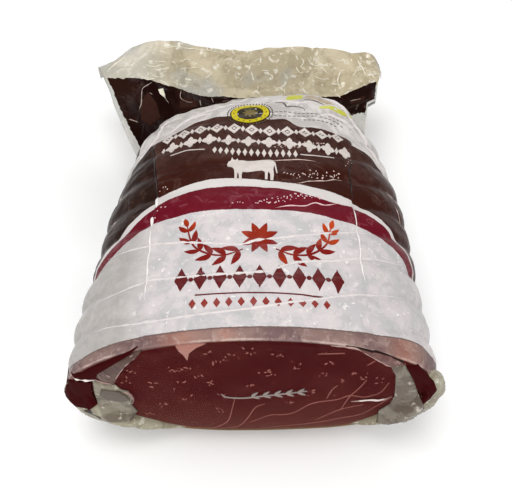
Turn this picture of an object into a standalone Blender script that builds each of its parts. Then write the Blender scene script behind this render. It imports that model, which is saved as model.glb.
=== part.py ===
"""Half a bresaola in its tight clear bag, lying on its belly with the cut end in front.

Metres, +Z up. The cut end faces -Y, and the bag's flat tail points to +Y.
The origin is the middle of the bounding box's underside.
The shape is one solid: the film lies on the meat everywhere except at the crumpled
corners beside the cut end and in the flat tail behind it.
"""

import math

import bmesh
import bpy
from mathutils import Matrix, Vector, noise

# The meat in its film
CUT_WIDTH = 0.1645
CUT_HEIGHT = 0.090
MEAT_LENGTH = 0.178
EQUATOR_FRONT = 0.0445
EQUATOR_BACK = 0.0375
SIDE_TAPER = 0.055
LEFT_SWELL = 0.0030
LEFT_SWELL_AT = 0.034
LEFT_SWELL_SPREAD = 0.030
TOP_SWELL = 0.0015
TOP_FALL = 0.0010
BELLY_SINK = 0.0016
BELLY_SINK_LENGTH = 0.1333
RIM_RADIUS = 0.005
FACE_BULGE = 0.0022
FACE_LOW_BULGE = 0.0040
ROUND_START = 0.100
ROUND_POWER_SIDE = 3.0
ROUND_POWER_TOP = 2.6
OVAL_POWER = 2.08
UNEVEN = 0.0016
UNEVEN_SCALE = 26.0
UNEVEN_ROUND = 1.6
UNEVEN_LEAST_HALF = 0.030

# Where the film stands off at the far end: (angle in degrees, distance along, rise)
SHOULDERS = ((53.0, 0.160, 0.0072), (118.0, 0.158, -0.0030), (158.0, 0.120, -0.0030))
SHOULDER_SPAN = 19.0
SHOULDER_LENGTH = 0.018

# The string loops that were tied round the meat
TIE_FIRST = 0.0215
TIE_PITCH = 0.0166
TIE_COUNT = 9
TIE_HALF_WIDTH = 0.0026
TIE_DEPTH_SIDE = 0.0020
TIE_DEPTH_TOP = 0.0011
TIE_DEPTH_BELLY = 0.0004
TIE_SLANT = 0.0016
TIE_SLANT_ANGLE = 0.6
TIE_SIDE_POWER = 1.5

# The flat tail of the bag, left (-1) to right (+1) and root (0) to open edge (1)
TAIL_ROOT_HALF = 0.064
TAIL_ROOT_START = 0.142
TAIL_ROOT_DEPTH = 0.028
TAIL_ROOT_POWER = 2.4
TAIL_ROOT_LEFT_HEIGHT = 0.036
TAIL_ROOT_RIGHT_HEIGHT = 0.046
TAIL_MID_LEFT = -0.091
TAIL_MID_RIGHT = 0.074
TAIL_MID_Y = 0.199
TAIL_MID_HEIGHTS = (0.058, 0.058, 0.0515, 0.0445, 0.0436, 0.0436, 0.0436, 0.0450, 0.0555)
TAIL_EDGE_LEFT = -0.1016
TAIL_EDGE_RIGHT = 0.082
TAIL_EDGE_Y = 0.228
TAIL_EDGE_HEIGHTS = (0.0373, 0.0580, 0.0643, 0.0600, 0.0565, 0.0590, 0.0590, 0.0548, 0.0357)
TAIL_THICKNESS = 0.0012
TAIL_CRUMPLE = 0.0011
TAIL_CRUMPLE_SCALE = 70.0

# The crumpled film corners beside the cut end: (middle angle, half span) in degrees
CORNER_SPANS = {"left": (213.0, 46.0), "right": (333.0, 44.0)}
CORNER_INWARD = 0.019
CORNER_OUTWARD = 0.0078
CORNER_FORWARD = 0.0034
CORNER_BACKWARD = 0.013
CORNER_BURIED = 0.0025
CORNER_CRUMPLE = 0.0012
CORNER_CRUMPLE_STEPS = (7.0, 1.7)
CORNER_SWELL_POWER = 0.7

RING_POINTS = 64
FACE_RINGS = 4
RIM_RINGS = 4
END_RINGS = 8
TAIL_COLUMNS = 40
TAIL_ROWS = 12
CORNER_STEPS = 18

FILM_COLOUR = (0.62, 0.58, 0.58, 1.0)
FILM_ROUGHNESS = 0.28


def clear_scene():
    for obj in list(bpy.data.objects):
        bpy.data.objects.remove(obj, do_unlink=True)


def closing(t, power):
    """How much of the section is left at t, from 1 along the meat to 0 at its far end."""
    if t <= ROUND_START:
        return 1.0
    share = min(1.0, (t - ROUND_START) / (MEAT_LENGTH - ROUND_START))
    return (1.0 - share**power) ** (1.0 / power)


def section(t):
    """Half width, middle height, rise above it and drop below it, t metres from the cut."""
    along = t / MEAT_LENGTH
    half = (CUT_WIDTH / 2 - SIDE_TAPER * t) * closing(t, ROUND_POWER_SIDE)
    middle = EQUATOR_FRONT + (EQUATOR_BACK - EQUATOR_FRONT) * along
    top = CUT_HEIGHT + TOP_SWELL * math.sin(math.pi * along) - TOP_FALL * along
    shrink = closing(t, ROUND_POWER_TOP)
    sink = BELLY_SINK * math.sin(math.pi * min(1.0, t / BELLY_SINK_LENGTH))
    return half, middle, (top - middle) * shrink, (middle + sink) * shrink


def tie_inset(t, angle):
    """How deep a string loop pulls the surface in."""
    nearest = round((t - TIE_FIRST) / TIE_PITCH)
    if not 0 <= nearest < TIE_COUNT:
        return 0.0
    off = (t - TIE_FIRST - nearest * TIE_PITCH) / TIE_HALF_WIDTH
    up = math.sin(angle)
    flat = TIE_DEPTH_TOP if up > 0 else TIE_DEPTH_BELLY
    depth = TIE_DEPTH_SIDE + (flat - TIE_DEPTH_SIDE) * abs(up) ** TIE_SIDE_POWER
    return depth * math.exp(-off * off)


def shoulder_rise(t, angle):
    """How far the film at the far end stands off the evenly rounded form."""
    rise = 0.0
    for middle, at, height in SHOULDERS:
        around = (math.degrees(angle) - middle) / SHOULDER_SPAN
        along = (t - at) / SHOULDER_LENGTH
        rise += height * math.exp(-around * around - along * along)
    return rise


def signed_power(value, power):
    return math.copysign(abs(value) ** power, value)


def skin_point(t, angle, inset=0.0):
    """A point of the film on the meat: t metres along it, angle round from +X over the top."""
    half, middle, rise, drop = section(t)
    bumps = noise.noise(
        Vector((math.cos(angle) * UNEVEN_ROUND, math.sin(angle) * UNEVEN_ROUND, t * UNEVEN_SCALE))
    )
    inward = inset + tie_inset(t, angle) - UNEVEN * bumps - shoulder_rise(t, angle)
    inward *= min(1.0, half / UNEVEN_LEAST_HALF)
    side = signed_power(math.cos(angle), 2 / OVAL_POWER)
    if side < 0:
        half += LEFT_SWELL * math.exp(-(((t - LEFT_SWELL_AT) / LEFT_SWELL_SPREAD) ** 2))
    up = signed_power(math.sin(angle), 2 / OVAL_POWER)
    reach = rise if up > 0 else drop
    slant = TIE_SLANT * math.cos(angle - TIE_SLANT_ANGLE) * math.sin(math.pi * t / MEAT_LENGTH)
    x = side * max(0.0, half - inward)
    z = middle + up * max(0.0, reach - inward)
    return Vector((x, t + slant, max(0.0, z)))


def face_point(share, angle):
    """A point of the film over the cut end, share 0 in its middle and 1 at the rim."""
    rim = skin_point(0.0, angle, RIM_RADIUS)
    middle = Vector((0.0, 0.0, EQUATOR_FRONT))
    point = middle.lerp(rim, share)
    low = 1 - point.z / CUT_HEIGHT
    bulge = FACE_BULGE * (1 - share**2) + FACE_LOW_BULGE * low * (1 - share**4)
    return Vector((point.x, -bulge, point.z))


def skin_rings():
    """The rings of the solid's skin, from the middle of the cut end to the far end."""
    angles = [2 * math.pi * i / RING_POINTS for i in range(RING_POINTS)]
    rings = []
    for i in range(1, FACE_RINGS + 1):
        rings.append([face_point(i / FACE_RINGS, a) for a in angles])
    for i in range(1, RIM_RINGS + 1):
        turn = math.pi / 2 * i / RIM_RINGS
        t = RIM_RADIUS * (1 - math.cos(turn))
        rings.append([skin_point(t, a, RIM_RADIUS * (1 - math.sin(turn))) for a in angles])
    stations = [RIM_RADIUS + 0.006]
    for k in range(TIE_COUNT):
        tie = TIE_FIRST + k * TIE_PITCH
        stations += [tie - TIE_HALF_WIDTH, tie, tie + TIE_HALF_WIDTH]
        stations.append(tie + TIE_PITCH / 2)
    last = stations[-1]
    for i in range(1, END_RINGS + 1):
        share = math.sin(math.pi / 2 * i / (END_RINGS + 1))
        stations.append(last + (MEAT_LENGTH - last) * share)
    rings += [[skin_point(t, a) for a in angles] for t in stations]
    return rings


def meat_solid():
    """The meat in its film, as one closed mesh."""
    bm = bmesh.new()
    rings = [[bm.verts.new(p) for p in ring] for ring in skin_rings()]
    for near, far in zip(rings, rings[1:]):
        for i in range(RING_POINTS):
            j = (i + 1) % RING_POINTS
            bm.faces.new((near[i], near[j], far[j], far[i]))
    middle = bm.verts.new(face_point(0.0, 0.0))
    end = bm.verts.new((0.0, MEAT_LENGTH, EQUATOR_BACK))
    for i in range(RING_POINTS):
        j = (i + 1) % RING_POINTS
        bm.faces.new((middle, rings[0][j], rings[0][i]))
        bm.faces.new((end, rings[-1][i], rings[-1][j]))
    return mesh_object("meat_in_film", bm)


def smooth_row(values, u):
    """A smooth curve through evenly spaced values, for u from -1 to 1."""
    place = (u + 1) / 2 * (len(values) - 1)
    i = min(len(values) - 2, int(place))
    f = place - i
    p0 = values[max(0, i - 1)]
    p1, p2 = values[i], values[i + 1]
    p3 = values[min(len(values) - 1, i + 2)]
    return 0.5 * (
        2 * p1 + (p2 - p0) * f
        + (2 * p0 - 5 * p1 + 4 * p2 - p3) * f * f
        + (3 * p1 - p0 - 3 * p2 + p3) * f**3
    )


def tail_point(u, w):
    """A point of the tail's middle surface: u across it, w from the meat to the open edge."""
    share = (u + 1) / 2
    root = Vector((
        TAIL_ROOT_HALF * u,
        TAIL_ROOT_START + TAIL_ROOT_DEPTH * (1 - abs(u) ** TAIL_ROOT_POWER) ** (1 / TAIL_ROOT_POWER),
        TAIL_ROOT_LEFT_HEIGHT + (TAIL_ROOT_RIGHT_HEIGHT - TAIL_ROOT_LEFT_HEIGHT) * share,
    ))
    mid = Vector((
        TAIL_MID_LEFT + (TAIL_MID_RIGHT - TAIL_MID_LEFT) * share,
        TAIL_MID_Y,
        smooth_row(TAIL_MID_HEIGHTS, u),
    ))
    edge = Vector((
        TAIL_EDGE_LEFT + (TAIL_EDGE_RIGHT - TAIL_EDGE_LEFT) * share,
        TAIL_EDGE_Y,
        smooth_row(TAIL_EDGE_HEIGHTS, u),
    ))
    near = (1 - w) * (1 - 2 * w)
    centre = 4 * w * (1 - w)
    far = w * (2 * w - 1)
    return root * near + mid * centre + edge * far


def tail_solid():
    """The flat end of the bag, a thin wavy sheet that starts inside the meat."""
    bm = bmesh.new()
    sheets = []
    for side in (1, -1):
        rows = []
        for j in range(TAIL_ROWS + 1):
            w = j / TAIL_ROWS
            row = []
            for i in range(TAIL_COLUMNS + 1):
                u = 2 * i / TAIL_COLUMNS - 1
                p = tail_point(u, w)
                p.z += TAIL_CRUMPLE * w * noise.noise(Vector((p.x, p.y, 0.0)) * TAIL_CRUMPLE_SCALE)
                row.append(bm.verts.new(p + Vector((0, 0, side * TAIL_THICKNESS / 2))))
            rows.append(row)
        sheets.append(rows)
    top, bottom = sheets
    for j in range(TAIL_ROWS):
        for i in range(TAIL_COLUMNS):
            a, b = (j, i), (j, i + 1)
            c, d = (j + 1, i + 1), (j + 1, i)
            for tri in ((a, b, c), (a, c, d)):
                bm.faces.new([top[r][s] for r, s in tri])
                bm.faces.new([bottom[r][s] for r, s in reversed(tri)])
    border = [(0, i) for i in range(TAIL_COLUMNS)]
    border += [(j, TAIL_COLUMNS) for j in range(TAIL_ROWS)]
    border += [(TAIL_ROWS, i) for i in range(TAIL_COLUMNS, 0, -1)]
    border += [(j, 0) for j in range(TAIL_ROWS, 0, -1)]
    for (j, i), (n, m) in zip(border, border[1:] + border[:1]):
        bm.faces.new((top[n][m], top[j][i], bottom[j][i], bottom[n][m]))
    return mesh_object("bag_tail", bm)


def corner_solid(name, middle, half_span):
    """Crumpled film that wraps the rim of the cut end and sinks into it all round."""
    bm = bmesh.new()
    outline = (
        (-CORNER_INWARD, -CORNER_BURIED),
        (-CORNER_INWARD * 0.85, CORNER_FORWARD * 0.3),
        (-CORNER_INWARD * 0.45, CORNER_FORWARD),
        (-CORNER_INWARD * 0.1, CORNER_FORWARD * 0.9),
        (CORNER_OUTWARD, -CORNER_FORWARD),
        (CORNER_OUTWARD * 0.8, -CORNER_BACKWARD * 0.6),
        (-CORNER_BURIED, -CORNER_BACKWARD),
    )
    along, around = CORNER_CRUMPLE_STEPS
    loops = []
    for k in range(CORNER_STEPS + 1):
        share = k / CORNER_STEPS
        angle = math.radians(middle + half_span * (2 * share - 1))
        swell = math.sin(math.pi * share) ** CORNER_SWELL_POWER
        sunk = CORNER_BURIED * (1 - swell)
        rim = face_point(1.0, angle)
        radius = math.hypot(rim.x, rim.z - EQUATOR_FRONT)
        skin = skin_point(RIM_RADIUS, angle)
        outward = Vector((math.cos(angle), 0.0, math.sin(angle)))
        loop = []
        for n, (out, ahead) in enumerate(outline):
            ragged = noise.noise(Vector((share * along, n * around, middle)))
            ragged *= CORNER_CRUMPLE * swell
            reach = out * swell - sunk + ragged
            if out < 0:
                point = face_point(1 + reach / radius, angle)
            else:
                point = Vector((skin.x, 0.0, skin.z)) + outward * reach
            point.y -= ahead * swell - sunk + ragged / 2
            point.z = max(0.0, point.z)
            loop.append(bm.verts.new(point))
        loops.append(loop)
    count = len(outline)
    for near, far in zip(loops, loops[1:]):
        for i in range(count):
            j = (i + 1) % count
            bm.faces.new((near[i], near[j], far[j], far[i]))
    bm.faces.new(list(reversed(loops[0])))
    bm.faces.new(loops[-1])
    return mesh_object(name, bm)


def mesh_object(name, bm):
    bmesh.ops.triangulate(bm, faces=bm.faces)
    bmesh.ops.recalc_face_normals(bm, faces=bm.faces)
    mesh = bpy.data.meshes.new(name)
    bm.to_mesh(mesh)
    bm.free()
    obj = bpy.data.objects.new(name, mesh)
    bpy.context.scene.collection.objects.link(obj)
    return obj


def joined(name, first, others):
    """One closed solid from several that overlap."""
    parts = bpy.data.collections.new("parts_to_join")
    bpy.context.scene.collection.children.link(parts)
    for obj in others:
        bpy.context.scene.collection.objects.unlink(obj)
        parts.objects.link(obj)
    union = first.modifiers.new("join", "BOOLEAN")
    union.operation = "UNION"
    union.operand_type = "COLLECTION"
    union.collection = parts
    union.solver = "EXACT"
    graph = bpy.context.evaluated_depsgraph_get()
    mesh = bpy.data.meshes.new_from_object(first.evaluated_get(graph))
    first.modifiers.clear()
    first.data = mesh
    first.name = name
    for obj in others:
        bpy.data.objects.remove(obj, do_unlink=True)
    bpy.data.collections.remove(parts)
    return first


def put_origin_under(obj):
    """Move the mesh until the origin is the middle of its bounding box's underside."""
    corners = [Vector(corner) for corner in obj.bound_box]
    low = Vector([min(values) for values in zip(*corners)])
    high = Vector([max(values) for values in zip(*corners)])
    middle = (low + high) / 2
    obj.data.transform(Matrix.Translation((-middle.x, -middle.y, -low.z)))


def film_material():
    material = bpy.data.materials.new("printed_film")
    material.use_nodes = True
    shader = material.node_tree.nodes["Principled BSDF"]
    shader.inputs["Base Color"].default_value = FILM_COLOUR
    shader.inputs["Roughness"].default_value = FILM_ROUGHNESS
    shader.inputs["Metallic"].default_value = 0.0
    return material


def main():
    clear_scene()
    meat = meat_solid()
    others = [tail_solid()]
    for side, (middle, half_span) in CORNER_SPANS.items():
        others.append(corner_solid("corner_" + side, middle, half_span))
    pack = joined("bresaola_pack", meat, others)
    put_origin_under(pack)
    pack.data.materials.append(film_material())
    pack.data.shade_smooth()
    pack.data.set_sharp_from_angle(angle=math.radians(40))


main()
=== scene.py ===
import bisect
import random
from math import atan2, copysign, cos, degrees, dist, exp, hypot, pi, radians, sin, sqrt

import bmesh
import bpy
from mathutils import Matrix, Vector, bvhtree, geometry, noise


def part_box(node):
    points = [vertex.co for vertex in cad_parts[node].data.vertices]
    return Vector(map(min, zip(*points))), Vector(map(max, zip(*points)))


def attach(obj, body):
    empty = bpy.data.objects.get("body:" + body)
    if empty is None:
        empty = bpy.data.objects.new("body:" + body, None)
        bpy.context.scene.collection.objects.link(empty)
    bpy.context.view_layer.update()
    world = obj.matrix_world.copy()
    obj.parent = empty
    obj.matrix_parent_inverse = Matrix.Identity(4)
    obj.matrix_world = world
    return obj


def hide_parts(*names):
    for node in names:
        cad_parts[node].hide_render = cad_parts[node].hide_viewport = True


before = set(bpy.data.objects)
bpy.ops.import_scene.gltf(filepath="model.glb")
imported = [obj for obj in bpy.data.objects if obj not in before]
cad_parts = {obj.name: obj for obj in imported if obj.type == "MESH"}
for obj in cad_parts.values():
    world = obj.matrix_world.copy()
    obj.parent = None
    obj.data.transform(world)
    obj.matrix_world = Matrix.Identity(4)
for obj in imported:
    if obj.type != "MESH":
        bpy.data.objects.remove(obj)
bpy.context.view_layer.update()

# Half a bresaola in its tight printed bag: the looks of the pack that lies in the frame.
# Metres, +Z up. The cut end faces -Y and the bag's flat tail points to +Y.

MM = 0.001
NODE = "bresaola_pack"

# The form of the meat in its film
CUT_WIDTH = 0.1645
CUT_HEIGHT = 0.090
MEAT_LENGTH = 0.178
EQUATOR_FRONT = 0.0445
EQUATOR_BACK = 0.0375
SIDE_TAPER = 0.055
LEFT_SWELL = 0.0030
LEFT_SWELL_AT = 0.034
LEFT_SWELL_SPREAD = 0.030
TOP_SWELL = 0.0015
TOP_FALL = 0.0010
BELLY_SINK = 0.0016
BELLY_SINK_LENGTH = 0.1333
RIM_RADIUS = 0.005
FACE_BULGE = 0.0022
FACE_LOW_BULGE = 0.0040
ROUND_START = 0.100
ROUND_POWER_SIDE = 3.0
ROUND_POWER_TOP = 2.6
OVAL_POWER = 2.08
UNEVEN = 0.0016
UNEVEN_SCALE = 26.0
UNEVEN_ROUND = 1.6
UNEVEN_LEAST_HALF = 0.030
# Where the far end stands out or in: (angle in degrees, distance along, height)
SHOULDERS = (
    (53.0, 0.160, 0.0072), (118.0, 0.158, -0.0030), (158.0, 0.120, -0.0030), (32.0, 0.126, -0.0022),
)
SHOULDER_SPAN = 19.0
SHOULDER_LENGTH = 0.018

# The string loops that were tied round the meat, and how they slope
TIE_FIRST = 0.0150
TIE_PITCH = 0.0166
TIE_COUNT = 10
TIE_HALF_WIDTH = 0.0022
TIE_DEPTH_LEFT = 0.0011
TIE_DEPTH_RIGHT = 0.0017
TIE_DEPTH_TOP = 0.0004
TIE_DEPTH_BELLY = 0.0003
TIE_SLANT = 0.0016
TIE_SLANT_ANGLE = 0.6
TIE_SIDE_POWER = 1.5
TIE_RISE_RIGHT = 0.022
TIE_RISE_LEFT = 0.006
PILLOW_SIDE = 0.0005
PILLOW_TOP = 0.00012

# The flat tail of the bag
TAIL_ROOT_HALF = 0.064
TAIL_ROOT_START = 0.142
TAIL_ROOT_DEPTH = 0.028
TAIL_ROOT_POWER = 2.4
TAIL_ROOT_LEFT_HEIGHT = 0.036
TAIL_ROOT_RIGHT_HEIGHT = 0.046
TAIL_MID_LEFT = -0.091
TAIL_MID_RIGHT = 0.074
TAIL_MID_Y = 0.199
TAIL_MID_HEIGHTS = (0.058, 0.058, 0.0515, 0.0445, 0.0436, 0.0436, 0.0436, 0.0450, 0.0555)
TAIL_EDGE_LEFT = -0.1016
TAIL_EDGE_RIGHT = 0.082
TAIL_EDGE_Y = 0.228
TAIL_EDGE_HEIGHTS = (0.0373, 0.0580, 0.0643, 0.0600, 0.0565, 0.0590, 0.0590, 0.0548, 0.0357)

# The crumpled corners beside the cut end: middle angle and half span in degrees, and reach outward
CORNER_SPANS = {"left": (208.0, 42.0, 0.0064), "right": (345.0, 42.0, 0.0040)}
HEM_INWARD = 0.013
CORNER_FORWARD = 0.0034
CORNER_LOW_FORWARD = 0.9
CORNER_LOW_OUTWARD = 0.35
CORNER_BACKWARD = 0.013
CORNER_BURIED = 0.0025
CORNER_SWELL_POWERS = {"left": 1.0, "right": 0.75}

# The creases where the bag's front panel meets its sides: (distance along, arc from the top)
LEFT_CREASE = (
    (0.000, -0.047), (0.045, -0.048), (0.067, -0.0492), (0.077, -0.0473), (0.100, -0.050),
    (0.122, -0.0545), (0.178, -0.060),
)
RIGHT_CREASE = (
    (0.000, 0.049), (0.040, 0.0468), (0.083, 0.0468), (0.106, 0.048), (0.127, 0.0515), (0.178, 0.058),
)
CREASE_STEP = 0.0006
CREASE_WIDTH = 0.0007

# The print's edges on the left side panel, the front panel and the right side panel, each as
# (arc from the top line, distance along) in millimetres
PRINT_EDGES = {
    "past_magenta_start": (
        ((-120, 44), (-91, 52.5), (-77, 55), (-67, 58.8), (-57.6, 63.5), (-50, 66.6)),
        ((-49, 66.5), (-36, 67.2), (-26, 68.2), (-3, 67.8), (24, 67.5), (38, 66.1), (47, 65.7)),
        ((48, 65.6), (58, 64.4), (67, 60), (76, 56), (85, 53), (120, 43)),
    ),
    "past_magenta_end": (
        ((-120, 44.5), (-91, 54), (-87, 56), (-76, 60.6), (-68, 66.4), (-56, 72.4), (-49.4, 75.2)),
        ((-47.3, 76.4), (-37, 79.8), (-27, 81.9), (-16, 82.6), (-3, 81.6), (15, 79.8), (32, 77.6),
         (47, 77.8)),
        ((49, 76.6), (58.7, 73.7), (67.8, 69.6), (77, 64), (83, 59), (90, 54), (120, 45)),
    ),
    "past_brown_start": (
        ((-120, 45), (-91, 55.5), (-84, 60), (-76, 65.6), (-62, 73.2), (-54.5, 76.7), (-49.5, 78.6)),
        ((-47.7, 82.7), (-39, 84.3), (-27, 86.8), (-18, 87.5), (-3, 86), (20, 84.3), (35, 83.2),
         (48, 81.5)),
        ((49.5, 80.4), (58, 77.4), (65.6, 73.4), (74.2, 67.9), (79.7, 64), (84, 60), (90, 55.5), (120, 46)),
    ),
    "past_band_start": (
        ((-120, 100), (-92, 116), (-80.5, 122.5), (-66.7, 122.5), (-62.1, 123.7), (-58.8, 126.7)),
        ((-58, 125.5), (-49.8, 126.6), (-42.5, 128.5), (-34.7, 133.9), (-24, 136), (-14, 134.8),
         (7, 129.5), (14.6, 130.4), (21, 125.4), (28.5, 126.9), (43, 127.7), (51, 125)),
        ((50.8, 122.4), (62.8, 122.8), (73.7, 121), (84, 121), (95, 117), (120, 110)),
    ),
    "past_band_end": (
        ((-120, 112), (-80, 132), (-58, 158)),
        ((-54, 161), (0, 167), (54, 163)),
        ((55, 163), (80, 146), (120, 125)),
    ),
}
# Where the white print begins, and where the film's haze begins at the rim of the cut end
FRONT_LINE = (
    (-110, 8.5), (-93, 7.4), (-82, 6.2), (-75, 6.6), (-48, 6.8), (-36, 6.5), (-2, 6.7), (17, 7.0),
    (34, 7.6),
    (42.5, 8.2), (52, 8.9), (63, 10.4), (70, 11.2), (75, 11.2), (81, 10.3), (85, 9.5), (110, 8.0),
)
RIM_LINE = (
    (-89, 2.2), (-81, 1.7), (-74, 1.5), (-57, 1.7), (-48, 1.7), (-36, 1.4), (-22, 1.25), (60, 1.25),
    (82, 1.6),
)
# Where the film over the rim is flushed pink: (arc, spread) in millimetres
FLUSHES = ((-31, 9), (-12, 4), (65, 7))

# Where the meat's film sits in the frame
BOX_LOW, BOX_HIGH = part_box(NODE)
CUT = Vector((BOX_LOW.x - TAIL_EDGE_LEFT, BOX_HIGH.y - TAIL_EDGE_Y, 0.0))

# How finely the film is divided: round it, over the face, over the rim and along the sides
AROUND = 352
FACE_RINGS = 44
RIM_RINGS = 8
SIDE_RINGS = 196
# From this share of the sides on, over the share that is left, the rings lie closer and closer
END_SHARE = 0.8
END_REST = 0.2

# How finely the meat is divided, how far it lies inside the film, and how much deeper under the print
MEAT_AROUND = 176
MEAT_FACE_RINGS = 30
MEAT_RIM_RINGS = 6
MEAT_SIDE_RINGS = 60
MEAT_GAP = 0.0005
MEAT_END_GAP = 0.002
UNDER_PRINT = 0.003
UNDER_PRINT_START = 0.012
UNDER_PRINT_SPAN = 0.006


def srgb(red, green, blue):
    """A linear colour from screen values, 0 to 255."""
    linear = []
    for value in (red, green, blue):
        share = value / 255
        linear.append(share / 12.92 if share <= 0.04045 else ((share + 0.055) / 1.055) ** 2.4)
    return (*linear, 1.0)


def clamped(value):
    """The value held between 0 and 1."""
    return min(1.0, max(0.0, value))


def along_line(points, place):
    """The value at a place on a line through (place, value) points, held at its ends."""
    if place <= points[0][0]:
        return points[0][1]
    for (a, first), (b, second) in zip(points, points[1:]):
        if place <= b:
            return first + (second - first) * (place - a) / (b - a)
    return points[-1][1]


def smooth_line(points, place):
    """The value at a place on a smooth curve through (place, value) points, held at its ends."""
    if place <= points[0][0]:
        return points[0][1]
    if place >= points[-1][0]:
        return points[-1][1]
    i = next(k for k in range(len(points) - 1) if place <= points[k + 1][0])
    before, after = points[max(0, i - 1)], points[min(len(points) - 1, i + 2)]
    (ax, ay), (bx, by) = points[i], points[i + 1]
    wide = bx - ax
    f = (place - ax) / wide
    leave = wide * (by - before[1]) / (bx - before[0])
    arrive = wide * (after[1] - ay) / (after[0] - ax)
    return (
        (1 + 2 * f) * (1 - f) ** 2 * ay + f * (1 - f) ** 2 * leave
        + f * f * (3 - 2 * f) * by - f * f * (1 - f) * arrive
    )


def smooth_path(line, step):
    """Points about a step apart on a smooth curve through a line's points."""
    marks = [0.0]
    for a, b in zip(line, line[1:]):
        marks.append(marks[-1] + dist(a, b))
    count = max(2, round(marks[-1] / step))
    path = []
    for i in range(count + 1):
        here = marks[-1] * i / count
        path.append(tuple(smooth_line([(m, p[k]) for m, p in zip(marks, line)], here) for k in (0, 1)))
    return path


def closing(t, power):
    """How far the far end has closed in at t, 1 where it hasn't begun to."""
    if t <= ROUND_START:
        return 1.0
    share = min(1.0, (t - ROUND_START) / (MEAT_LENGTH - ROUND_START))
    return (1.0 - share**power) ** (1.0 / power)


def section(t):
    """Half width, middle height, rise above it and drop below it, t metres from the cut."""
    along = t / MEAT_LENGTH
    half = (CUT_WIDTH / 2 - SIDE_TAPER * t) * closing(t, ROUND_POWER_SIDE)
    middle = EQUATOR_FRONT + (EQUATOR_BACK - EQUATOR_FRONT) * along
    top = CUT_HEIGHT + TOP_SWELL * sin(pi * along) - TOP_FALL * along
    shrink = closing(t, ROUND_POWER_TOP)
    sink = BELLY_SINK * sin(pi * min(1.0, t / BELLY_SINK_LENGTH))
    return half, middle, (top - middle) * shrink, (middle + sink) * shrink


def tie_rise(angle):
    """How far back a string loop lies at this angle, from the top line's place."""
    side = cos(angle)
    return TIE_RISE_RIGHT * side if side > 0 else TIE_RISE_LEFT * side * side


def tie_inset(t, angle):
    """The groove of the nearest string loop, with the meat swelling between the loops."""
    place = (t - TIE_FIRST - tie_rise(angle)) / TIE_PITCH
    nearest = min(TIE_COUNT - 1, max(-1, round(place)))
    off = (place - nearest) * TIE_PITCH / TIE_HALF_WIDTH
    up = sin(angle)
    flat = TIE_DEPTH_TOP if up > 0 else TIE_DEPTH_BELLY
    deep = TIE_DEPTH_LEFT if cos(angle) < 0 else TIE_DEPTH_RIGHT
    depth = deep + (flat - deep) * abs(up) ** TIE_SIDE_POWER
    pillow = PILLOW_SIDE + (PILLOW_TOP - PILLOW_SIDE) * abs(up) ** TIE_SIDE_POWER
    start = clamped((t - RIM_RADIUS) / 0.006)
    return start * (depth * exp(-off * off) + pillow * cos(2 * pi * place))


def shoulder_rise(t, angle):
    """How far the film at the far end stands off the evenly rounded form."""
    rise = 0.0
    for middle, at, height in SHOULDERS:
        around = (degrees(angle) - middle) / SHOULDER_SPAN
        along = (t - at) / SHOULDER_LENGTH
        rise += height * exp(-around * around - along * along)
    return rise


def signed_power(value, power):
    return copysign(abs(value) ** power, value)


def skin_point(t, angle, inset=0.0):
    """A point of the film on the meat: t metres along it, angle round from +X over the top."""
    half, middle, rise, drop = section(t)
    bumps = noise.noise(
        Vector((cos(angle) * UNEVEN_ROUND, sin(angle) * UNEVEN_ROUND, t * UNEVEN_SCALE))
    )
    inward = inset + tie_inset(t, angle) - UNEVEN * bumps - shoulder_rise(t, angle)
    inward *= min(1.0, half / UNEVEN_LEAST_HALF)
    side = signed_power(cos(angle), 2 / OVAL_POWER)
    if side < 0:
        half += LEFT_SWELL * exp(-(((t - LEFT_SWELL_AT) / LEFT_SWELL_SPREAD) ** 2))
    up = signed_power(sin(angle), 2 / OVAL_POWER)
    reach = rise if up > 0 else drop
    slant = TIE_SLANT * cos(angle - TIE_SLANT_ANGLE) * sin(pi * t / MEAT_LENGTH)
    x = side * max(0.0, half - inward)
    z = middle + up * max(0.0, reach - inward)
    return Vector((x, t + slant, max(0.0, z)))


def face_point(share, angle, inset=0.0):
    """A point of the film over the cut end, share 0 in its middle and 1 at the rim."""
    rim = skin_point(0.0, angle, RIM_RADIUS)
    middle = Vector((0.0, 0.0, EQUATOR_FRONT))
    point = middle.lerp(rim, share)
    low = 1 - point.z / CUT_HEIGHT
    bulge = FACE_BULGE * (1 - share**2) + FACE_LOW_BULGE * low * (1 - share**4)
    return Vector((point.x, inset - bulge, point.z))


def smooth_row(values, u):
    """A smooth curve through evenly spaced values, for u from -1 to 1."""
    place = (u + 1) / 2 * (len(values) - 1)
    i = min(len(values) - 2, int(place))
    f = place - i
    p0 = values[max(0, i - 1)]
    p1, p2 = values[i], values[i + 1]
    p3 = values[min(len(values) - 1, i + 2)]
    return 0.5 * (
        2 * p1 + (p2 - p0) * f
        + (2 * p0 - 5 * p1 + 4 * p2 - p3) * f * f
        + (3 * p1 - p0 - 3 * p2 + p3) * f**3
    )


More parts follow.
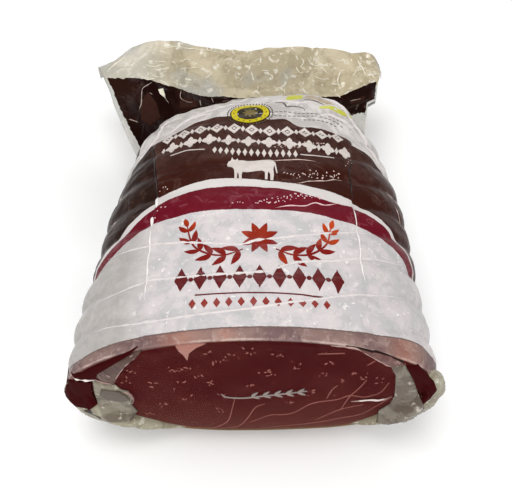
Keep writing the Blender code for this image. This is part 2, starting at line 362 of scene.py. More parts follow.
def tail_point(u, w):
    """A point of the tail's middle surface: u across it, w from the meat to the open edge."""
    share = (u + 1) / 2
    root = Vector((
        TAIL_ROOT_HALF * u,
        TAIL_ROOT_START + TAIL_ROOT_DEPTH * (1 - abs(u) ** TAIL_ROOT_POWER) ** (1 / TAIL_ROOT_POWER),
        TAIL_ROOT_LEFT_HEIGHT + (TAIL_ROOT_RIGHT_HEIGHT - TAIL_ROOT_LEFT_HEIGHT) * share,
    ))
    mid = Vector((
        TAIL_MID_LEFT + (TAIL_MID_RIGHT - TAIL_MID_LEFT) * share,
        TAIL_MID_Y,
        smooth_row(TAIL_MID_HEIGHTS, u),
    ))
    edge = Vector((
        TAIL_EDGE_LEFT + (TAIL_EDGE_RIGHT - TAIL_EDGE_LEFT) * share,
        TAIL_EDGE_Y,
        smooth_row(TAIL_EDGE_HEIGHTS, u),
    ))
    near = (1 - w) * (1 - 2 * w)
    centre = 4 * w * (1 - w)
    far = w * (2 * w - 1)
    return root * near + mid * centre + edge * far


# Where the three parts of the creases' warp are read, far apart so that they differ
WARP_STEPS = (Vector((9.3, -1.5, -7.9)), Vector((0.0, 0.0, 0.0)), Vector((6.3, 0.2, -2.7)))


def folds(place, scale, seed):
    """Sharp creases like those of stiff film: 1 on a crease and down to -1 between them."""
    spot = Vector(place) * scale + Vector((seed, -seed, seed * 0.7))
    warp = Vector([noise.noise(spot * 0.55 + step) for step in WARP_STEPS]) * 0.8
    return 1 - 3.0 * abs(noise.noise(spot + warp))


# Materials


class Shader:
    """One material's node tree, with short ways to add and join nodes."""

    def __init__(self, name, **inputs):
        self.material = bpy.data.materials.new(name)
        self.material.use_nodes = True
        self.tree = self.material.node_tree
        self.surface = self.tree.nodes["Principled BSDF"]
        for key, value in inputs.items():
            self.surface.inputs[key.replace("_", " ")].default_value = value

    def node(self, kind, **settings):
        made = self.tree.nodes.new("ShaderNode" + kind)
        for key, value in settings.items():
            setattr(made, key, value)
        return made

    def put(self, socket, value):
        """Join an output or set a value, where three numbers are a colour's screen values."""
        if isinstance(value, bpy.types.NodeSocket):
            self.tree.links.new(value, socket)
        elif isinstance(value, tuple) and len(value) == 3:
            socket.default_value = srgb(*value)
        else:
            socket.default_value = value

    def to(self, name, value):
        self.put(self.surface.inputs[name], value)

    def attribute(self, name):
        return self.node("Attribute", attribute_name=name).outputs["Fac"]

    def noise(self, scale, detail=3.0, roughness=0.5, distortion=0.0):
        """A noise over the object's own coordinates in metres."""
        made = self.node("TexNoise")
        for key, value in (
            ("Scale", scale), ("Detail", detail), ("Roughness", roughness), ("Distortion", distortion)
        ):
            made.inputs[key].default_value = value
        self.put(made.inputs["Vector"], self.node("TexCoord").outputs["Object"])
        return made.outputs["Fac"]

    def math(self, operation, first, second=0.0, clamp=False):
        made = self.node("Math", operation=operation, use_clamp=clamp)
        self.put(made.inputs[0], first)
        self.put(made.inputs[1], second)
        return made.outputs["Value"]

    def ramp(self, value, low, high, start=0.0, end=1.0):
        """value from low..high carried smoothly to start..end."""
        made = self.node("MapRange", interpolation_type="SMOOTHSTEP")
        for key, given in (("Value", value), ("From Min", low), ("From Max", high),
                           ("To Min", start), ("To Max", end)):
            self.put(made.inputs[key], given)
        return made.outputs["Result"]

    def mix(self, factor, first, second, blend="MIX"):
        made = self.node("Mix", data_type="RGBA", blend_type=blend)
        self.put(made.inputs[0], factor)
        self.put(made.inputs[6], first)
        self.put(made.inputs[7], second)
        return made.outputs[2]

    def over(self, base, value, low, high, colour, most=1.0):
        """The base with a colour laid over it where value goes from low to high."""
        return self.mix(self.ramp(value, low, high, 0.0, most), base, colour)

    def two(self, value, low, high, first, second):
        """One colour turning into another where value goes from low to high."""
        return self.mix(self.ramp(value, low, high), first, second)

    def times(self, first, second):
        return self.math("MULTIPLY", first, second)

    def plus(self, first, second):
        return self.math("ADD", first, second)

    def wobble(self, scale, detail, reach):
        """A small uneven shift to either side."""
        return self.times(self.math("SUBTRACT", self.noise(scale, detail), 0.5), reach)

    def bump(self, height, distance, strength):
        made = self.node("Bump")
        made.inputs["Strength"].default_value = strength
        made.inputs["Distance"].default_value = distance
        self.put(made.inputs["Height"], height)
        return made.outputs["Normal"]


# The print's colours: on the front panel, and duller on the left side
BROWN = (56, 22, 14)
BROWN_SIDE = (36, 21, 16)
MAGENTA = (102, 16, 32)
WHITE = (210, 202, 202)
WHITE_SHADE = (196, 192, 193)
WHITE_SIDE = (184, 179, 175)


def crinkle(shader, scale, gain=14.0, distortion=0.6):
    """Thin creases of tight film: high where a noise crosses its middle."""
    wave = shader.noise(scale, 2.0, 0.5, distortion)
    off = shader.math("ABSOLUTE", shader.math("SUBTRACT", wave, 0.5))
    return shader.math("SUBTRACT", 1.0, shader.times(off, gain), True)


def broken(shader, lines, scale, low=0.5, high=0.6):
    """Lines that show in short stretches only."""
    return shader.times(lines, shader.ramp(shader.noise(scale, 2.0), low, high))


def printed_film():
    """The bag on the meat: clear at the cut end, then its printed bands."""
    s = Shader("bag_print", Roughness=0.32, Specular_IOR_Level=0.07)
    wobble = s.wobble(700.0, 1.0, 0.5 * MM)

    def past(name, soft=0.14 * MM, shift=0.0):
        edge = s.plus(s.attribute(name), s.plus(wobble, shift))
        return s.ramp(edge, -soft, soft)

    patches = s.noise(75.0, 6.0, 0.66, 0.6)
    mottle = s.noise(150.0, 5.0, 0.62, 0.4)
    specks = s.noise(330.0, 3.0, 0.6, 0.3)
    left = s.ramp(s.attribute("left_side"), -0.3 * MM, 0.3 * MM)
    far_left = s.ramp(s.attribute("left_side"), -4.0 * MM, 14.0 * MM, 0.0, 0.9)
    white = s.two(patches, 0.43, 0.56, WHITE_SHADE, WHITE)
    white = s.over(white, mottle, 0.54, 0.64, (216, 211, 209), 0.55)
    white = s.over(white, mottle, 0.46, 0.38, (186, 184, 184), 0.6)
    scuffs = s.noise(240.0, 5.0, 0.7, 0.8)
    white = s.over(white, scuffs, 0.57, 0.66, (228, 222, 220), 0.6)
    white = s.over(white, specks, 0.64, 0.69, (240, 235, 233), 0.8)
    side = s.two(mottle, 0.42, 0.6, WHITE_SIDE, (172, 168, 163))
    side = s.over(side, patches, 0.55, 0.66, (198, 193, 189), 0.6)
    white = s.mix(far_left, white, side)
    high = s.ramp(s.attribute("along"), 98 * MM, 104 * MM, 0.0, 0.8)
    brown = s.over(BROWN, patches, 0.45, 0.62, (62, 28, 19), 0.8)
    brown = s.mix(high, brown, s.two(mottle, 0.4, 0.6, (58, 34, 29), (74, 48, 42)))
    brown_side = s.two(mottle, 0.4, 0.65, BROWN_SIDE, (46, 31, 25))
    brown = s.mix(s.times(left, 0.85), brown, brown_side)
    # Painted highlights: lighter broken lines along the film's crinkles, laid over the brown and the
    # magenta print
    wear_and_glints = broken(s, crinkle(s, 130.0), 90.0, 0.52, 0.6)
    brown = s.mix(s.times(wear_and_glints, 0.25), brown, (112, 84, 76))
    magenta = s.two(mottle, 0.4, 0.68, MAGENTA, (108, 24, 36))
    magenta = s.mix(s.times(wear_and_glints, 0.25), magenta, (170, 104, 116))
    band = s.two(patches, 0.44, 0.56, (212, 206, 202), (190, 184, 180))
    band = s.over(band, mottle, 0.56, 0.64, (232, 226, 222), 0.7)
    tint = s.noise(60.0, 4.0, 0.6, 0.3)
    clear = s.two(tint, 0.42, 0.58, (122, 98, 98), (148, 122, 115))
    flushed = s.two(tint, 0.4, 0.6, (158, 112, 100), (178, 136, 122))
    clear = s.mix(s.attribute("flush"), clear, flushed)
    clear = s.over(clear, scuffs, 0.5, 0.66, (192, 168, 160), 0.6)
    # The light line along the rim: partly the pale fat under the film, partly a painted highlight where the
    # film bends over the rim
    rim_start = past("past_rim", 0.1 * MM, -0.2 * MM)
    rim_end = past("past_rim", 0.15 * MM, -0.8 * MM)
    rim = s.math("SUBTRACT", rim_start, rim_end, True)
    clear = s.mix(s.times(rim, s.ramp(tint, 0.45, 0.6, 0.1, 0.8)), clear, (206, 182, 172))
    # A painted shadow: a darker strip just in front of the white print's edge
    clear = s.mix(past("past_front", 0.3 * MM, 0.7 * MM), clear, (112, 92, 87))

    colour = s.mix(past("past_front"), clear, white)
    colour = s.mix(past("past_magenta_start"), colour, magenta)
    colour = s.mix(past("past_magenta_end"), colour, (212, 206, 203))
    colour = s.mix(past("past_brown_start"), colour, brown)
    colour = s.mix(past("past_band_start"), colour, band)
    colour = s.mix(past("past_band_end"), colour, brown)
    s.to("Base Color", colour)
    haze = s.ramp(s.attribute("past_rim"), -0.2 * MM, 0.2 * MM, 0.02, 0.85)
    s.to("Alpha", s.math("MAXIMUM", haze, past("past_front", 0.25 * MM, 0.9 * MM)))
    fine = s.plus(crinkle(s, 240.0, 6.0), s.times(crinkle(s, 90.0, 6.0), 1.6))
    s.to("Normal", s.bump(fine, 0.10 * MM, 0.45))
    return s.material


def cut_meat():
    """The dry cured meat: dark red at the cut, with a paler rind under the film."""
    s = Shader("cured_meat", Roughness=0.6, Specular_IOR_Level=0.02)
    height = s.attribute("height")
    soft = s.noise(38.0, 4.0, 0.6, 0.8)
    deep = s.two(height, 0.05, 0.6, (96, 47, 39), (68, 10, 12))
    deep = s.over(deep, height, 0.75, 1.0, (54, 4, 6), 0.6)
    deep = s.over(deep, soft, 0.4, 0.68, (88, 36, 32), 0.45)
    flecks = s.noise(300.0, 2.0, 0.5, 0.2)
    colour = s.over(deep, flecks, 0.68, 0.75, (160, 96, 88), 0.5)
    fat = s.times(s.ramp(s.attribute("rim"), 0.955, 0.985), s.ramp(height, 0.3, 0.05))
    colour = s.mix(fat, colour, (120, 96, 56))
    rind = s.two(s.noise(70.0, 4.0, 0.6), 0.42, 0.6, (146, 116, 110), (186, 126, 110))
    colour = s.mix(s.ramp(s.attribute("depth"), 1.3 * MM, 2.2 * MM), colour, rind)
    s.to("Base Color", colour)
    s.to("Normal", s.bump(s.noise(160.0, 3.0, 0.5), 0.10 * MM, 0.4))
    return s.material


def clear_film(name, colour, shade, alpha=(0.75, 0.97), crease_scale=110.0, glint=(226, 222, 206)):
    """Stiff clear film, with painted highlights along its creases, where it is also less see-through."""
    s = Shader(name, Roughness=0.2, Specular_IOR_Level=0.2)
    patches = s.noise(80.0, 5.0, 0.62, 0.5)
    lines = crinkle(s, crease_scale, 14.0, 1.2)
    bright = broken(s, lines, crease_scale * 1.9, 0.56, 0.66)
    base = s.two(patches, 0.44, 0.56, colour, shade)
    # Painted highlights: the glint colour along broken crease lines
    s.to("Base Color", s.mix(bright, base, glint))
    s.to("Alpha", s.math("MAXIMUM", s.ramp(patches, 0.4, 0.6, *alpha), bright))
    fine = s.plus(lines, s.times(crinkle(s, crease_scale * 2.7, 8.0), 0.4))
    s.to("Normal", s.bump(fine, 0.3 * MM, 0.5))
    return s.material


def tail_film(name, alpha_low):
    """The tail's film: brown print near the meat and clear beyond it."""
    s = Shader(name, Roughness=0.2, Specular_IOR_Level=0.05)
    patches = s.noise(42.0, 4.0, 0.6, 0.6)
    lines = crinkle(s, 80.0, 16.0, 1.3)
    bright = broken(s, lines, 190.0, 0.53, 0.6)
    clear = s.two(patches, 0.42, 0.56, (214, 201, 172), (186, 173, 144))
    clear = s.over(clear, s.noise(22.0, 3.0), 0.5, 0.62, (186, 186, 180), 0.75)
    clear = s.over(clear, s.noise(150.0, 4.0, 0.6), 0.58, 0.64, (156, 144, 118), 0.45)
    clear = s.over(clear, s.noise(230.0, 3.0, 0.6, 0.4), 0.62, 0.68, (226, 220, 200), 0.8)
    # Painted highlights: bright broken lines along the film's crinkles
    clear = s.mix(bright, clear, (244, 238, 220))
    clear = s.mix(s.attribute("pale"), clear, s.two(patches, 0.4, 0.6, (224, 221, 215), (196, 196, 190)))
    brown = s.two(patches, 0.5, 0.6, (28, 10, 7), (40, 20, 15))
    # Painted highlights, fewer and fainter, on the tail's brown print
    rare = s.times(bright, s.ramp(s.noise(34.0, 2.0), 0.52, 0.6, 0.0, 0.5))
    brown = s.mix(rare, brown, (120, 100, 92))
    wobble = s.wobble(420.0, 2.0, 1.6 * MM)
    print_here = s.ramp(s.plus(s.attribute("past_print"), wobble), -0.15 * MM, 0.15 * MM, 1.0, 0.0)
    s.to("Base Color", s.mix(print_here, clear, brown))
    see = s.ramp(patches, 0.35, 0.65, alpha_low, 0.96)
    s.to("Alpha", s.math("MAXIMUM", s.math("MAXIMUM", see, bright), print_here))
    fine = s.plus(lines, s.times(crinkle(s, 330.0, 8.0), 0.25))
    s.to("Normal", s.bump(s.times(fine, s.ramp(print_here, 0.0, 1.0, 1.0, 0.35)), 0.3 * MM, 0.5))
    return s.material


# Mesh pieces


def link(name, bm, material, smooth=True):
    """A piece of the pack, moved from the cut's own frame into the shared one."""
    bmesh.ops.triangulate(bm, faces=[f for f in bm.faces if len(f.verts) > 4])
    bmesh.ops.recalc_face_normals(bm, faces=bm.faces)
    bmesh.ops.translate(bm, verts=bm.verts, vec=CUT)
    mesh = bpy.data.meshes.new(name)
    bm.to_mesh(mesh)
    bm.free()
    obj = bpy.data.objects.new(name, mesh)
    bpy.context.scene.collection.objects.link(obj)
    mesh.materials.append(material)
    if smooth:
        mesh.shade_smooth()
    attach(obj, "root")
    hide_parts(NODE)
    return obj


def set_values(piece, name, values):
    """A value for each point of a piece, for its material to read."""
    piece.data.attributes.new(name, "FLOAT", "POINT").data.foreach_set("value", values)


def closed_rings(rings, first=None, last=None):
    """A closed mesh through rings of points, with a point or a flat cap at each end."""
    bm = bmesh.new()
    rows = [[bm.verts.new(p) for p in ring] for ring in rings]
    count = len(rows[0])
    for near, far in zip(rows, rows[1:]):
        for i in range(count):
            j = (i + 1) % count
            bm.faces.new((near[i], near[j], far[j], far[i]))
    for point, row, flip in ((first, rows[0], False), (last, rows[-1], True)):
        if point is None:
            bm.faces.new(row if flip else list(reversed(row)))
            continue
        tip = bm.verts.new(point)
        for i in range(count):
            j = (i + 1) % count
            bm.faces.new((tip, row[i], row[j]) if flip else (tip, row[j], row[i]))
    return bm


def ring_arcs(ring, angles):
    """The arc from the top line to each point of a ring, right positive, both ways round."""
    count = len(ring)
    top = min(range(count), key=lambda i: abs(angles[i] - pi / 2))
    arcs = [0.0] * count
    for step in (1, -1):
        total = 0.0
        here = top
        for _ in range(count // 2):
            there = (here + step) % count
            total += (ring[there] - ring[here]).length
            arcs[there] = -step * total
            here = there
    return arcs


def print_edge(name, t, arc):
    """Where an edge of the print lies at this arc, on the panel that the place belongs to."""
    left, front, right = PRINT_EDGES[name]
    if arc < along_line(LEFT_CREASE, t):
        return smooth_line(left, arc / MM) * MM
    if arc > along_line(RIGHT_CREASE, t):
        return smooth_line(right, arc / MM) * MM
    return smooth_line(front, arc / MM) * MM


def flush(arc):
    """How pink the film over the rim is at this arc, 0 to 1."""
    return min(1.0, sum(exp(-(((arc / MM - middle) / spread) ** 2)) for middle, spread in FLUSHES))


# The film's small folds: all over, and larger at the far end from END_FOLD_START on
FINE_FOLD = 0.00022
FINE_FOLD_SPAN = 0.004
END_FOLD = 0.0006
END_FOLD_START = 0.130
END_FOLD_SPAN = 0.03


def eased(value):
    """A smooth step from 0, far below zero, to 1, far above it."""
    return 1 / (1 + exp(-max(-30.0, min(30.0, value * 2))))


def skin_detail(point, t, angle, arc):
    """Fine outward relief of the film: the crease steps and small folds."""
    left = (arc - along_line(LEFT_CREASE, t)) / CREASE_WIDTH
    right = (along_line(RIGHT_CREASE, t) - arc) / CREASE_WIDTH
    rise = CREASE_STEP * eased(left) * eased(right) if sin(angle) > 0 else 0.0
    body = clamped((t - RIM_RADIUS) / FINE_FOLD_SPAN)
    rise += body * FINE_FOLD * folds((point.x, point.y * 2.2, point.z), 95.0, 3.0)
    late = clamped((t - END_FOLD_START) / END_FOLD_SPAN)
    rise += late * END_FOLD * folds((point.x * 1.4, point.y * 0.5, point.z), 60.0, 9.0)
    return rise


def film_rings():
    """The rings of the film round the meat, with arcs: face, rim and sides."""
    angles = [2 * pi * i / AROUND for i in range(AROUND)]
    rings = []
    for i in range(1, FACE_RINGS + 1):
        share = i / FACE_RINGS
        rings.append((0.0, [face_point(share, a) for a in angles]))
    for i in range(1, RIM_RINGS + 1):
        turn = pi / 2 * i / RIM_RINGS
        t = RIM_RADIUS * (1 - cos(turn))
        ring = [skin_point(t, a, RIM_RADIUS * (1 - sin(turn))) for a in angles]
        rings.append((t, ring))
    for i in range(1, SIDE_RINGS):
        share = i / SIDE_RINGS
        if share >= END_SHARE:
            share = END_SHARE + END_REST * sin((share - END_SHARE) / END_REST * pi / 2)
        t = RIM_RADIUS + (MEAT_LENGTH - RIM_RADIUS) * share
        rings.append((t, [skin_point(t, a) for a in angles]))
    detailed = []
    for t, ring in rings:
        arcs = ring_arcs(ring, angles)
        if t > 0:
            centre = Vector((0.0, ring[0].y, section(t)[1]))
            moved = []
            for point, angle, arc in zip(ring, angles, arcs):
                out = point - centre
                out.y = 0.0
                moved.append(point + out.normalized() * skin_detail(point, t, angle, arc))
            ring = [Vector((p.x, p.y, max(0.0, p.z))) for p in moved]
        detailed.append((t, ring, arcs))
    return detailed


def film_skin(rings):
    bm = closed_rings(
        [ring for _, ring, _ in rings], face_point(0.0, 0.0), (0.0, MEAT_LENGTH, EQUATOR_BACK)
    )
    places = [(ring[i].y, arcs[i], t) for t, ring, arcs in rings for i in range(AROUND)]
    places += [(0.0, 0.0, 0.0), (MEAT_LENGTH, 0.0, MEAT_LENGTH)]
    skin = link("bag_film", bm, printed_film())
    values = {name: [] for name in (*PRINT_EDGES, "past_front", "past_rim", "left_side", "along", "flush")}
    for y, arc, t in places:
        for name in PRINT_EDGES:
            values[name].append(y - print_edge(name, t, arc))
        values["past_front"].append(y - smooth_line(FRONT_LINE, arc / MM) * MM)
        values["past_rim"].append(y - smooth_line(RIM_LINE, arc / MM) * MM)
        values["along"].append(y)
        values["flush"].append(flush(arc))
        values["left_side"].append(along_line(LEFT_CREASE, t) - arc)
    for name, row in values.items():
        set_values(skin, name, row)
    return skin


def meat_piece():
    """The cured meat under the film, from its cut end back."""
    angles = [2 * pi * i / MEAT_AROUND for i in range(MEAT_AROUND)]
    rings = []
    facts = []
    for i in range(1, MEAT_FACE_RINGS + 1):
        share = i / MEAT_FACE_RINGS
        rings.append([face_point(share, a, MEAT_GAP) for a in angles])
        facts += [(0.0, share, p.z / CUT_HEIGHT) for p in rings[-1]]
    sides = []
    for i in range(1, MEAT_RIM_RINGS + 1):
        turn = pi / 2 * i / MEAT_RIM_RINGS
        sides.append((RIM_RADIUS * (1 - cos(turn)), MEAT_GAP + RIM_RADIUS * (1 - sin(turn)), MEAT_GAP))
    end = MEAT_LENGTH - MEAT_END_GAP
    for i in range(1, MEAT_SIDE_RINGS):
        t = RIM_RADIUS + (end - RIM_RADIUS) * sin(pi / 2 * i / MEAT_SIDE_RINGS)
        deeper = UNDER_PRINT * clamped((t - UNDER_PRINT_START) / UNDER_PRINT_SPAN)
        sides.append((t, MEAT_GAP * 2 + deeper, -1.0))
    for t, inset, least_y in sides:
        ring = [skin_point(t, a, inset) for a in angles]
        rings.append([Vector((p.x, max(p.y, least_y), max(p.z, MEAT_GAP))) for p in ring])
        facts += [(t, 1.0, p.z / CUT_HEIGHT) for p in ring]
    bm = closed_rings(rings, face_point(0.0, 0.0, MEAT_GAP), (0.0, end, EQUATOR_BACK))
    facts += [(0.0, 0.0, 0.5), (MEAT_LENGTH, 1.0, 0.5)]
    meat = link("cured_meat", bm, cut_meat())
    for i, name in enumerate(("depth", "rim", "height")):
        set_values(meat, name, [fact[i] for fact in facts])


def sheet_slab(rows, thickness):
    """A closed thin slab over a grid of points, with its thickness below them."""
    bm = bmesh.new()
    high, wide = len(rows), len(rows[0])
    top = [[bm.verts.new(p) for p in row] for row in rows]
    bottom = [[bm.verts.new(p - Vector((0, 0, thickness))) for p in row] for row in rows]
    for j in range(high - 1):
        for i in range(wide - 1):
            bm.faces.new((top[j][i], top[j][i + 1], top[j + 1][i + 1], top[j + 1][i]))
            bm.faces.new((bottom[j + 1][i], bottom[j + 1][i + 1], bottom[j][i + 1], bottom[j][i]))
    border = [(0, i) for i in range(wide - 1)]
    border += [(j, wide - 1) for j in range(high - 1)]
    border += [(high - 1, i) for i in range(wide - 1, 0, -1)]
    border += [(j, 0) for j in range(high - 1, 0, -1)]
    for (j, i), (n, m) in zip(border, border[1:] + border[:1]):
        bm.faces.new((top[n][m], top[j][i], bottom[j][i], bottom[n][m]))
    return bm


# The tail's films: how finely they are divided, and their creases, left bow, right notch and corner.
# The meat holds them still over TAIL_HELD of their length. The print ends at TAIL_PRINT_END of it.
TAIL_COLUMNS = 260
TAIL_ROWS = 100
TAIL_HELD = 0.35
TAIL_FOLD = 0.0018
TAIL_FOLD_SCALES = (45.0, 130.0)
TAIL_BOW = 0.0014
TAIL_BOW_END = 0.45
TAIL_NOTCH = 0.0042
TAIL_NOTCH_FROM = 0.12
TAIL_NOTCH_TO = 0.33
TAIL_CORNER_RISE = 0.0115
TAIL_CORNER_START = 0.76
TAIL_PRINT_END = 0.5
TAIL_LEFT_MARGIN = 0.0015
TAIL_RIGHT_MARGIN = 0.0008
TAIL_PALE_END = 0.46
TAIL_FILM_THICKNESS = 0.00025
# Each film's piece, lift in metres, seed, least alpha, and how far its open edge stands back
TAIL_FILMS = (
    ("tail_front_film", 0.0010, 3.0, 0.86, 0.0),
    ("tail_back_film", -0.0014, 11.0, 0.90, -0.0006),
)


def tail_piece(name, lift, seed, alpha_low, edge_back):
    """One of the tail's two films, crumpled in its own way, with its points for what lies on it."""
    rows = []
    edges = []
    pales = []
    for j in range(TAIL_ROWS + 1):
        w = j / TAIL_ROWS
        wide = (tail_point(1.0, w) - tail_point(-1.0, w)).length
        calm = 0.35 + 0.65 * clamped((w - TAIL_HELD) / 0.25)
        row = []
        for i in range(TAIL_COLUMNS + 1):
            u = 2 * i / TAIL_COLUMNS - 1
            p = tail_point(u, w)
            free = min(1.0, w / TAIL_HELD)
            flat = (p.x, p.y, 0.0)
            wide_folds, fine_folds = (folds(flat, TAIL_FOLD_SCALES[k], seed + 5 * k) for k in (0, 1))
            height = wide_folds * 0.7 + fine_folds * 0.3 * calm
            border = min(1.0, (1 - abs(u)) / 0.05)
            border *= 1 - 0.7 * w**8
            p.z += free * calm * TAIL_FOLD * height * (0.3 + 0.7 * border) + lift * free
            p.y -= edge_back * w * (0.6 + 0.4 * noise.noise(Vector((u * 4.0, seed, 0.0))))
            p.y += 0.0012 * w * noise.noise(Vector((u * 7.0, seed * 2, 1.0)))
            p.x += 0.0010 * w * noise.noise(Vector((w * 9.0, seed * 3, u)))
            p.x -= TAIL_BOW * max(0.0, -u) ** 3 * sin(pi * min(1.0, w / TAIL_BOW_END))
            corner = max(0.0, (u - TAIL_CORNER_START) / (1 - TAIL_CORNER_START)) ** 1.6
            p.z += TAIL_CORNER_RISE * w**4 * sin(pi * corner) ** 0.8
            notch = clamped((TAIL_NOTCH_TO - w) / 0.03) * min(1.0, w / TAIL_NOTCH_FROM)
            p.x -= TAIL_NOTCH * max(0.0, u) ** 5 * notch
            row.append(p)
            left_margin = TAIL_LEFT_MARGIN - (1 + u) / 2 * wide
            right_margin = TAIL_RIGHT_MARGIN - (1 - u) / 2 * wide
            lower_right = min((u - 0.74 + (w - 0.1) * 0.5) * 0.08, (0.22 - w) * 0.06)
            edges.append(max((w - TAIL_PRINT_END) * 0.06, left_margin, right_margin, lower_right))
            pales.append(1.0 if w < TAIL_PALE_END else 0.55 * clamped((-u - 0.4) / 0.3))
        rows.append(row)
    film = link(name, sheet_slab(rows, TAIL_FILM_THICKNESS), tail_film(name, alpha_low))
    set_values(film, "past_print", edges * 2)
    set_values(film, "pale", pales * 2)
    return rows


# How finely the loose film of a corner is divided, along it and between its outline's points
CORNER_STEPS = 150
CORNER_FINER = 6
CORNER_NARROW = 0.8
# Its crumple: (stretch round the outline, scale, seed, height in millimetres)
CORNER_CRUMPLES = ((0.0009, 55.0, 2.0, 0.6), (0.0016, 190.0, 4.0, 0.2))


def corner_piece(side, middle, half_span, outward):
    """The loose film that wraps one lower corner of the cut end."""
    # The hem's outline as (outward, forward)
    outline = (
        (-HEM_INWARD, -CORNER_BURIED),
        (-HEM_INWARD * 0.85, CORNER_FORWARD * 0.3),
        (-HEM_INWARD * 0.45, CORNER_FORWARD),
        (-HEM_INWARD * 0.1, CORNER_FORWARD * 0.9),
        (outward, -CORNER_FORWARD),
        (outward * 0.8, -CORNER_BACKWARD * 0.6),
        (-CORNER_BURIED, -CORNER_BACKWARD),
    )
    loops = []
    for k in range(CORNER_STEPS + 1):
        share = k / CORNER_STEPS
        angle = radians(middle + half_span * (2 * share - 1))
        swell = sin(pi * share) ** CORNER_SWELL_POWERS[side]
        low = max(0.0, -sin(angle))
        narrow = 1 - CORNER_NARROW * clamped((sin(angle) + 0.25) / 0.35) if side == "right" else 1.0
        sunk = CORNER_BURIED * (1 - swell)
        rim = face_point(1.0, angle)
        radius = hypot(rim.x, rim.z - EQUATOR_FRONT)
        skin = skin_point(RIM_RADIUS, angle)
        ray = Vector((cos(angle), 0.0, sin(angle)))
        loop = []
        for n in range(len(outline) * CORNER_FINER):
            i, f = divmod(n, CORNER_FINER)
            f /= CORNER_FINER
            (out_a, ahead_a), (out_b, ahead_b) = outline[i], outline[(i + 1) % len(outline)]
            out = out_a + (out_b - out_a) * f
            ahead = ahead_a + (ahead_b - ahead_a) * f
            if ahead > 0:
                ahead *= 1 + CORNER_LOW_FORWARD * low
            if out > 0 and side == "right":
                out *= 1 + CORNER_LOW_OUTWARD * low
            if out < 0:
                out *= narrow
            crumple = 0.0
            for stretch, scale, seed, height in CORNER_CRUMPLES:
                crumple += folds((share * 0.16, n * stretch, middle), scale, seed) * height * MM
            reach = out * swell - sunk + crumple * swell
            if out < 0:
                point = face_point(1 + reach / radius, angle)
            else:
                point = Vector((skin.x, 0.0, skin.z)) + ray * reach
            point.y -= ahead * swell - sunk + crumple * 0.8 * swell
            point.z = max(0.0, point.z)
            loop.append(point)
        loops.append(loop)
    bm = closed_rings(loops)
    material = clear_film("hem_film_" + side, (178, 172, 148), (140, 130, 108), crease_scale=120.0)
    return link("corner_film_" + side, bm, material)


# What lies on the film: printed ornaments, and ridges where it is creased


def round_places(centre, radius, count):
    """Places evenly round a centre."""
    turns = [2 * pi * i / count for i in range(count)]
    return [(centre[0] + radius * cos(turn), centre[1] + radius * sin(turn)) for turn in turns]


class FilmMap:
    """Places on the film by arc from the top line and distance along, in millimetres."""

    def __init__(self, rings):
        self.rows = []
        for t, ring, arcs in rings:
            if t < RIM_RADIUS:
                continue
            order = sorted(range(len(ring)), key=lambda i: arcs[i])
            self.rows.append(([arcs[i] for i in order], [ring[i] for i in order]))

    def on_row(self, row, arc):
        arcs, points = self.rows[row]
        i = min(len(arcs) - 1, max(1, bisect.bisect_left(arcs, arc)))
        share = (arc - arcs[i - 1]) / (arcs[i] - arcs[i - 1])
        return points[i - 1].lerp(points[i], clamped(share))

    def at(self, arc_mm, y_mm, lift_mm=0.0):
        arc, y = arc_mm * MM, y_mm * MM
        low, high = 0, len(self.rows) - 2
        while low < high:
            middle = (low + high + 1) // 2
            if self.on_row(middle, arc).y <= y:
                low = middle
            else:
                high = middle - 1
        near, far = self.on_row(low, arc), self.on_row(low + 1, arc)
        share = (y - near.y) / max(1e-9, far.y - near.y)
        point = near.lerp(far, clamped(share))
        across = self.on_row(low, arc + 0.6 * MM) - self.on_row(low, arc - 0.6 * MM)
        normal = across.cross(far - near).normalized()
        return point + normal * (lift_mm * MM)


class FaceMap:
    """Places on the film over the cut end by x and height, in millimetres."""

    def __init__(self):
        self.table = []
        count = 1440
        for i in range(count + 1):
            angle = -pi + 2 * pi * i / count
            rim = face_point(1.0, angle)
            arm = Vector((rim.x, rim.z - EQUATOR_FRONT))
            self.table.append((atan2(arm.y, arm.x), angle, arm.length))
        self.table = sorted(self.table)
        self.directions = [row[0] for row in self.table]

    def at(self, x_mm, z_mm, lift_mm=0.0):
        arm = Vector((x_mm * MM, z_mm * MM - EQUATOR_FRONT))
        direction = atan2(arm.y, arm.x)
        i = min(len(self.table) - 1, bisect.bisect_left(self.directions, direction))
        _, angle, reach = self.table[i]
        point = face_point(min(1.0, arm.length / reach), angle)
        over = min(RIM_RADIUS, max(0.0, arm.length - reach))
        back = RIM_RADIUS - sqrt(RIM_RADIUS**2 - over**2)
        return Vector((arm.x, point.y + back - lift_mm * MM, z_mm * MM))


class Drape:
    """Places on whatever lies foremost at the cut end, by x and height in millimetres.

    A place beyond the outline is drawn in to the nearest one that has something to lie on.
    """

    def __init__(self, *pieces):
        self.trees = [
            bvhtree.BVHTree.FromPolygons(
                [v.co for v in piece.data.vertices], [f.vertices for f in piece.data.polygons])
            for piece in pieces
        ]

    def at(self, x_mm, z_mm, lift_mm=0.0):
        for share in (1.0, 0.99, 0.98, 0.97, 0.96, 0.94, 0.9):
            x, z = x_mm * MM * share, EQUATOR_FRONT + (z_mm * MM - EQUATOR_FRONT) * share
            ahead = CUT + Vector((x, -0.05, z))
            hits = [tree.ray_cast(ahead, Vector((0.0, 1.0, 0.0)))[0] for tree in self.trees]
            front = [hit.y - CUT.y for hit in hits if hit is not None and hit.y - CUT.y < 0.02]
            if front:
                return Vector((x, min(front) - lift_mm * MM, z))
        return Vector((x, -lift_mm * MM, z))


# For what is part of the clear film
ON_CLEAR = {"slot": "clear_film", "smooth": True}
# Across a ridge: (place across its width, height or, where it is sunk, depth in millimetres)
RIDGE_PROFILE = ((-0.5, -0.15), (-0.25, 0.7), (0.0, 1.0), (0.25, 0.7), (0.5, -0.15), (0.0, -0.35))


